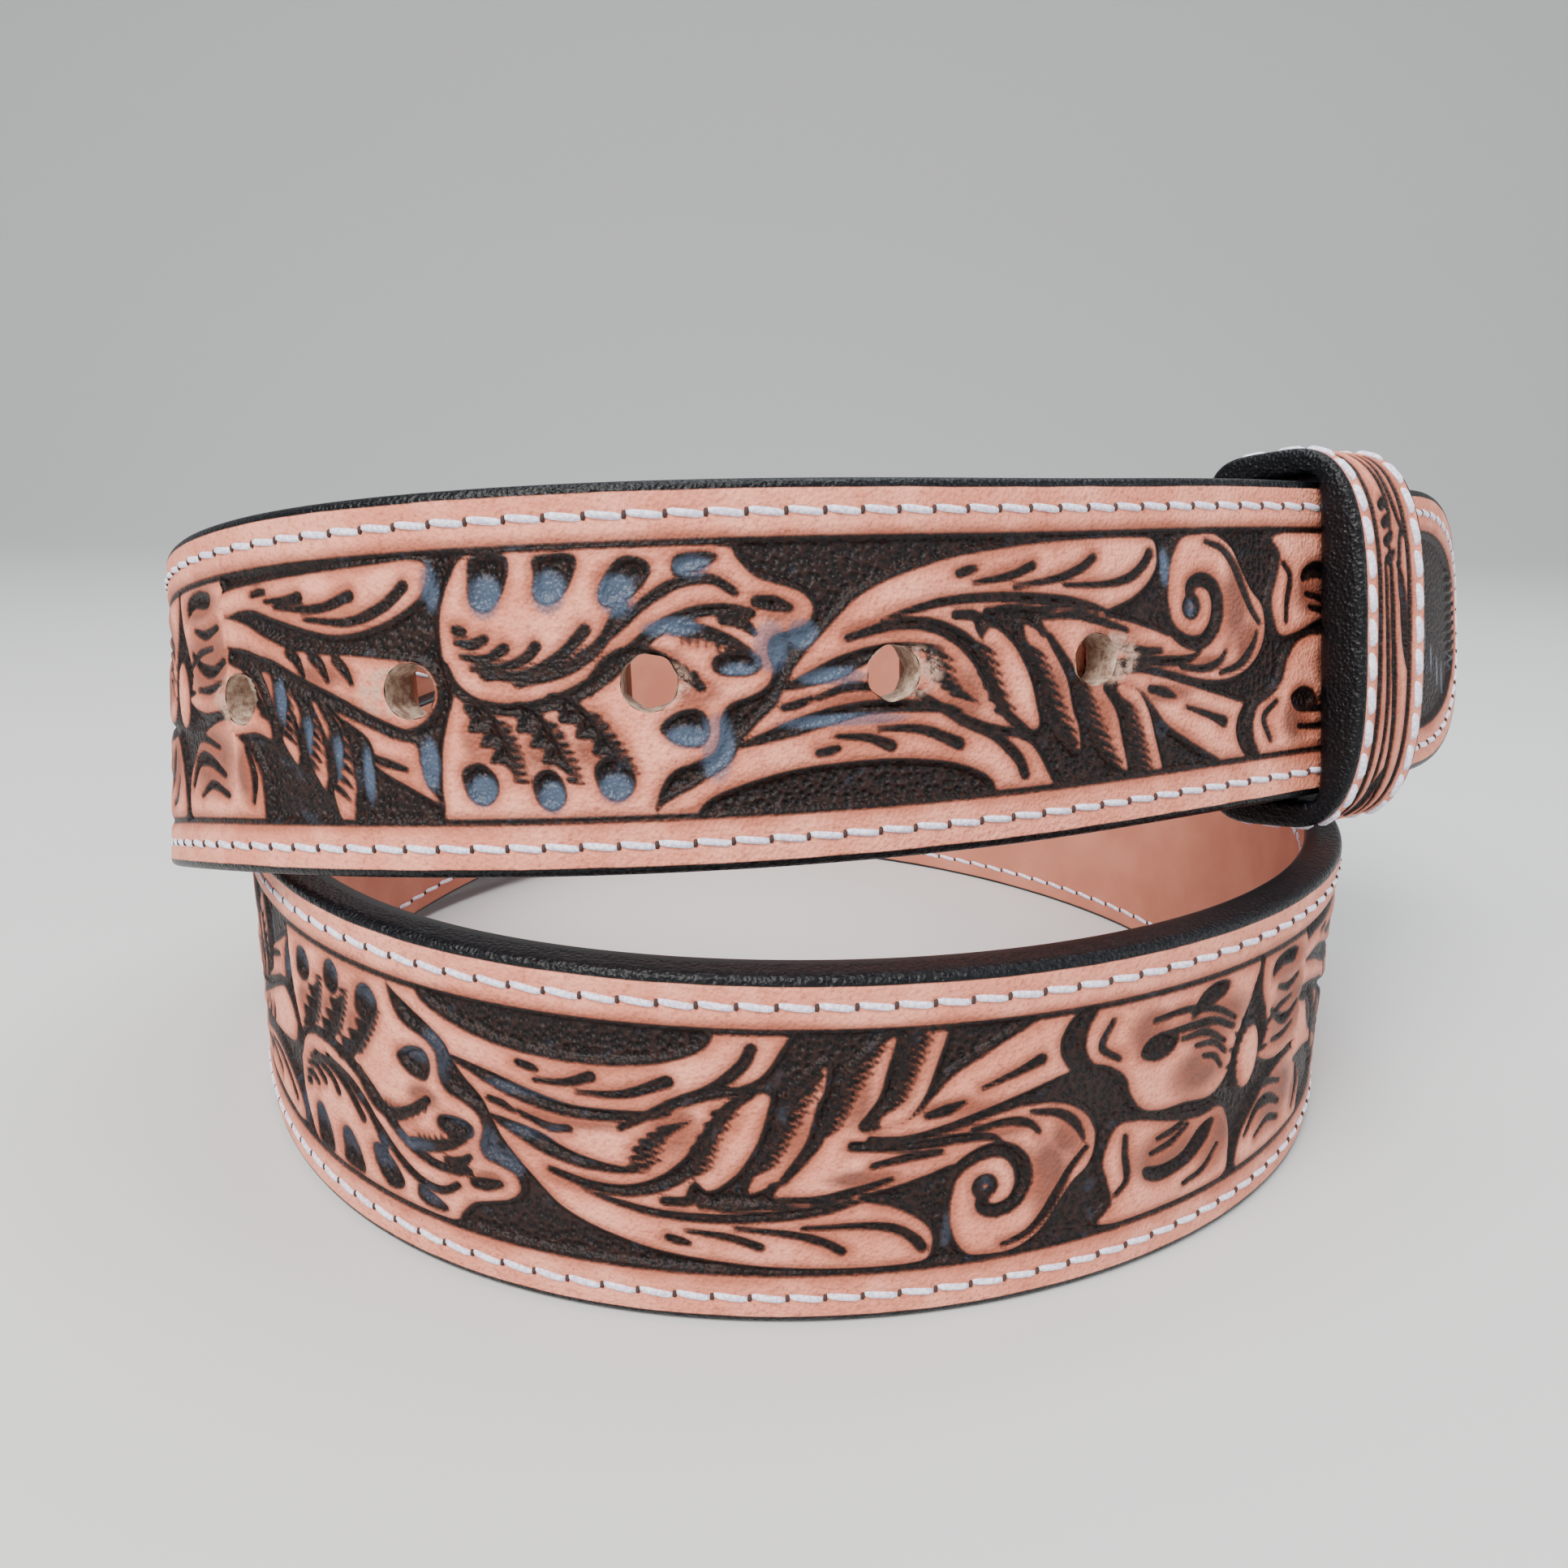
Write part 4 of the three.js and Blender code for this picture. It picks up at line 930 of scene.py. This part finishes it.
def capsules(centres, directions, sides, ups, length, radius, flat):
    # many low rounded bars at once: rings of eight places along each one, its ends dipping into the leather
    t = np.array([-1.0, -0.9, -0.6, 0.0, 0.6, 0.9, 1.0])
    fat = np.array([0.25, 0.7, 0.97, 1.0, 0.97, 0.7, 0.25])
    around = np.arange(8) * 2 * np.pi / 8
    dip = -0.25 * (np.abs(t) ** 4)
    local = np.stack([
        np.repeat(t * length / 2, 8),
        (fat[:, None] * np.cos(around) * radius).ravel(),
        (fat[:, None] * np.sin(around) * radius * flat + dip[:, None]).ravel()], 1)
    points = (centres[:, None] + directions[:, None] * local[None, :, :1]
              + sides[:, None] * local[None, :, 1:2] + ups[:, None] * local[None, :, 2:])
    start = (np.arange(len(centres)) * len(local))[:, None, None]
    quads = gridFaces(len(t), 8) + start
    ends = np.stack([np.arange(8), len(local) - 1 - np.arange(8)]) + start
    return points.reshape(-1, 3), quads.reshape(-1, 4).tolist() + ends.reshape(-1, 8).tolist()


def readLine(at, step, line):
    # places on a flat line at some lengths along it
    return np.stack([np.interp(at, step, line[:, k]) for k in range(2)], 1)


def strapStitches(name, depth, upward):
    # one stitch at each step along the seam, turned by its slant, and a dark bar of painted shade for the
    # needle hole between two stitches
    step, path = seamPath()
    at = np.arange(stitch["pitch"] / 2, step[-1], stitch["pitch"])
    place = readLine(at, step, path)
    heading = unit(readLine(at + 0.6, step, path) - readLine(at - 0.6, step, path))
    turnBy = stitch["slant"] * upward
    c, d = math.cos(turnBy), math.sin(turnBy)
    heading = np.stack([heading[:, 0] * c - heading[:, 1] * d, heading[:, 0] * d + heading[:, 1] * c], 1)
    along, across, face = (routeAt(k, place[:, 0]) for k in ("along", "across", "face"))
    direction = along * heading[:, :1] + across * heading[:, 1:]
    up = face * upward
    side = np.cross(up, direction)
    centres = strapPoints(place[:, 0], place[:, 1], depth)
    points, faces = capsules(centres, direction, side, up, stitch["length"], stitch["radius"], 0.72)
    thing = makeObject(name, points, faces, thread)
    # painted shade: a dark bar for the shade in each needle hole
    holeShadePlace = strapPoints(*readLine(at + stitch["pitch"] / 2, step, path).T, depth)
    points, faces = capsules(holeShadePlace, side, direction, up, 0.95, 0.24, 0.8)
    holeShadeBars = makeObject(name + "_needle_hole_shade", points, faces, needleHoleShade)


strapStitches("face_stitches", 0.0, 1.0)
strapStitches("lining_stitches", 4.76, -1.0)
print("stitching made")

# ---------- keeper
keeper = {"fromTip": 61.7, "width": 16.0, "thickness": 3.6, "clearance": 0.7, "backSlack": 2.2, "crown": 2.2,
          "frontPower": 3, "backPower": 5, "holePower": 12}


def keeperOval(angle, grow, crown, frontPower, backPower):
    # the loop seen along the strap: half a superellipse for its front, and half of one for its back
    layers = strap["turnStep"] + strap["thickness"]
    power = np.where(np.sin(angle) >= 0, frontPower, backPower)
    front = keeper["clearance"] + grow + crown + layers / 2
    rear = keeper["backSlack"] + grow + layers / 2
    height = np.where(np.sin(angle) >= 0, front, rear)
    across, out = np.cos(angle), np.sin(angle)
    u = (halfWidth + keeper["clearance"] + grow) * np.sign(across) * np.abs(across) ** (2 / power)
    w = height * np.sign(out) * np.abs(out) ** (2 / power) - layers / 2
    return np.stack([u, w], 1)


def keeperLines():
    # outer and inner line with the same even steps along the outer one
    angle = np.linspace(0, 2 * np.pi, 4001)
    outer = keeperOval(angle, keeper["thickness"], keeper["crown"], keeper["frontPower"], keeper["backPower"])
    inner = keeperOval(angle, 0.0, 0.0, keeper["holePower"], keeper["holePower"])
    step = np.concatenate([[0], np.cumsum(np.linalg.norm(np.diff(outer, axis=0), axis=1))])
    at = np.linspace(0, step[-1], 431)[:-1]
    return [readLine(at, step, line) for line in (outer, inner)]


# the keeper's own small drawing: a is up its front from the middle, b across it, towards the tip of the strap
band = Drawing((-30.0, -8.4), (30.0, 8.4), 0.15)
band.field[:] = 2.0
keeperCuts = [
    (0.6, 0.7, 0.6, [(-30, -3.6), (-12, -3.7), (0, -3.6), (12, -3.6), (30, -3.6)]),
    (0.6, 0.7, 0.6, [(-30, 3.6), (-12, 3.7), (0, 3.6), (12, 3.6), (30, 3.6)]),
    (0.4, 0.9, 0.4, [(-27, 1.6), (-18, 0.9), (-8, 0.2), (0, -0.4), (8, -0.8), (11, -0.9)]),
    (0.3, 0.6, 0.3, [(-24, -1.8), (-14, -1.4), (-4, -1.6), (4, -2.0), (9, -2.1)]),
    (0.3, 0.6, 0.2, [(14, 3.0), (11, 1.6), (6, 1.2), (1.6, 2.2)]),
    (0.3, 0.7, 0.3, [(25, 2.2), (19, 1.6), (15, 2.0), (12.4, 3.2)]),
    (0.3, 0.6, 0.3, [(24, -0.2), (19, 0.4), (15.6, 0.3), (12.0, -0.4)]),
    (0.9, 1.0, 0.3, [(9.4, -1.6), (9.9, -0.6), (10.4, 0.2)]),
    (0.9, 1.0, 0.3, [(11.6, -1.6), (12.1, -0.7), (12.6, 0.1)]),
    (0.9, 1.0, 0.3, [(13.8, -1.5), (14.3, -0.6), (14.7, 0.1)]),
    (0.9, 1.0, 0.3, [(16.0, -1.4), (16.5, -0.5), (16.9, 0.1)]),
]
band.cut([(5.4, 2.6), (3.0, 2.9), (-1.6, 3.1), (-4.2, 3.2), (-1.2, 1.9), (3.0, 1.3), (6.6, 1.2), (9.0, 0.6),
          (8.6, 1.5)])
band.cut([(-16.5, 0.4), (-19.4, 0.3), (-23, -0.6), (-25, -2.6), (-21.6, -2.4), (-18.6, -1.2)])
for cut in keeperCuts:
    band.stroke(*cut)

# section of the loop: across its face, round one edge, back along its inside and round the other edge
bandFace = np.arange(-7.0, 7.01, 0.35)
bandEdge = np.array([
    (7.35, 0.06), (7.65, 0.2), (7.88, 0.5), (8.0, 1.0), (8.0, 1.8), (8.0, 2.7), (7.9, 3.15), (7.6, 3.45),
    (7.1, 3.6)
])
sectionB = np.concatenate([bandFace, bandEdge[:, 0], [3.5, 0.0, -3.5], -bandEdge[::-1, 0]])
sectionDepth = np.concatenate([0 * bandFace, bandEdge[:, 1], [3.6, 3.6, 3.6], bandEdge[::-1, 1]])

keeperPoint, keeperAlong, keeperAcross, keeperFace = (
    routeAt(k, np.array([keeper["fromTip"]]))[0] for k in ("point", "along", "across", "face"))


def keeperWay(plane):
    # across the strap by the first value, out from its face by the second
    return keeperAcross * plane[..., :1] + keeperFace * plane[..., 1:]


def keeperPlace(plane, b):
    return keeperPoint + keeperWay(plane) - keeperAlong * b[..., None]


def keeperMesh():
    # the section carried round the loop between its outer and inner line, its face carved
    outerLine, innerLine = keeperLines()
    tangent = unit(np.roll(outerLine, -1, 0) - np.roll(outerLine, 1, 0))
    normal = np.stack([tangent[:, 1], -tangent[:, 0]], 1)
    depth = sectionDepth / keeper["thickness"]
    plane = outerLine[:, None] + (innerLine - outerLine)[:, None] * depth[None, :, None]
    a = np.broadcast_to(outerLine[:, :1], plane.shape[:2])
    frontSide = np.broadcast_to((outerLine[:, 1] > 0)[:, None], a.shape)
    b = np.broadcast_to(sectionB, a.shape)
    faceOut = np.broadcast_to(sectionDepth < 0.05, a.shape)
    inside = np.where(faceOut & frontSide, band.at(a, b), 2.0)
    edge = np.where(sectionDepth < 0.05, keeper["width"] / 2 - np.abs(sectionB), 0.0)
    carved = -0.5 * eased(-inside, -0.25, 0.6) - 0.12 * (1 - eased(inside, 0, 1.0))
    seam = -0.2 * np.exp(-((keeper["width"] / 2 - np.abs(b) - 2.2) / 0.6) ** 2)
    height = np.where(faceOut, carved + seam, 0)
    plane = plane + normal[:, None] * height[..., None]
    points = keeperPlace(plane, b).reshape(-1, 3)
    rows, columns = a.shape
    faces = gridFaces(rows + 1, columns) % (rows * columns)
    attributes = {"tan": inside, "edge": np.broadcast_to(edge, a.shape) * 1.0}
    thing = makeObject("keeper_leather", points, faces.tolist(), tooled, attributes)
    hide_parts("keeper")
    return outerLine, normal, tangent


keeperLine, keeperNormal, keeperTangent = keeperMesh()


def keeperStitches():
    # a row of broad slanted stitches near each edge of the loop
    step = np.concatenate([[0], np.cumsum(np.linalg.norm(np.diff(keeperLine, axis=0), axis=1))])
    at = np.arange(1.0, step[-1], 4.1)
    plane = readLine(at, step, keeperLine)
    up = keeperWay(unit(readLine(at, step, keeperNormal)))
    direction = unit(keeperWay(unit(readLine(at, step, keeperTangent))) - keeperAlong * 0.16)
    centres = np.concatenate([keeperPlace(plane, np.full(len(at), b)) for b in (-5.8, 5.8)])
    up, direction = np.concatenate([up, up]), np.concatenate([direction, direction])
    points, faces = capsules(centres, direction, np.cross(up, direction), up, 3.5, 0.72, 0.6)
    thing = makeObject("keeper_stitches", points, faces, thread)


keeperStitches()
print("keeper made")

# ---------- floor, light, camera
# the floor runs level, bends up behind on a radius of 1.2 m and goes on as the backdrop
bend = np.linspace(0, math.pi / 2, 25)
curve = np.stack([0.9 + 1.2 * np.sin(bend), 1.2 - 1.2 * np.cos(bend)], 1)
sweep = np.concatenate([[(-2.0, 0.0)], curve, [(2.1, 3.5)]])
floorPoints = np.array([(x, y, z) for x in (-4.0, 4.0) for y, z in sweep])
floorFaces = [(i, i + len(sweep), i + len(sweep) + 1, i + 1) for i in range(len(sweep) - 1)]
floorMesh = bpy.data.meshes.new("floor")
floorMesh.from_pydata(floorPoints.tolist(), [], floorFaces)
floorMesh.polygons.foreach_set("use_smooth", np.ones(len(floorFaces), bool))
floorPaint = Paint("floor")
floorMesh.materials.append(floorPaint.feed(baseColor=(0.62, 0.62, 0.61), roughness=0.75))
floor = bpy.data.objects.new("floor", floorMesh)
bpy.context.scene.collection.objects.link(floor)
floor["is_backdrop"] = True

world = bpy.data.worlds.new("studio")
world.use_nodes = True
world.node_tree.nodes["Background"].inputs["Color"].default_value = (0.82, 0.88, 1.0, 1)
world.node_tree.nodes["Background"].inputs["Strength"].default_value = 0.26
bpy.context.scene.world = world


def areaLight(name, place, target, size, power, colour):
    # a square lamp at a place, turned to face its target
    data = bpy.data.lights.new(name, "AREA")
    data.size, data.energy, data.color = size, power, colour
    light = bpy.data.objects.new(name, data)
    light.location = place
    light.rotation_euler = (Vector(target) - Vector(place)).to_track_quat("-Z", "Y").to_euler()
    bpy.context.scene.collection.objects.link(light)
    return light


areaLight("key", (-0.35, -0.55, 0.75), (0, 0, 0.04), 0.5, 14.0, (1.0, 0.97, 0.93))
areaLight("top", (0.1, 0.25, 0.9), (0, 0, 0.03), 0.7, 7.0, (0.9, 0.95, 1.0))
areaLight("side", (0.75, -0.25, 0.35), (0, 0, 0.05), 0.4, 3.0, (0.95, 0.97, 1.0))

even = bpy.data.objects.new("even", bpy.data.lights.new("even", "SUN"))
even.data.energy, even.data.angle = 1.7, 0.7
even.rotation_euler = (math.radians(48), 0, math.radians(-18))
bpy.context.scene.collection.objects.link(even)

camera = bpy.data.objects.new("camera", bpy.data.cameras.new("camera"))
camera.data.lens = 28.34
camera.data.sensor_width = 36
camera.data.clip_start = 0.01
pitch, roll = math.radians(15.11), math.radians(0.86)
camera.location = tuple((np.array([-0.6, -188.3, 87.5]) + shift) * mm)
camera.rotation_euler = (Matrix.Rotation(-pitch, 3, "X") @ Matrix.Rotation(math.pi / 2, 3, "X")
                         @ Matrix.Rotation(roll, 3, "Z")).to_euler()
bpy.context.scene.collection.objects.link(camera)
bpy.context.scene.camera = camera

bpy.context.view_layer.update()
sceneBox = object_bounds()
plain = lambda box: [[float(x) for x in corner] for corner in box] if hasattr(box[0], "__len__") else list(map(float, box))
{"cad": plain(cadBox), "scene": plain(sceneBox)}
print("scene done")
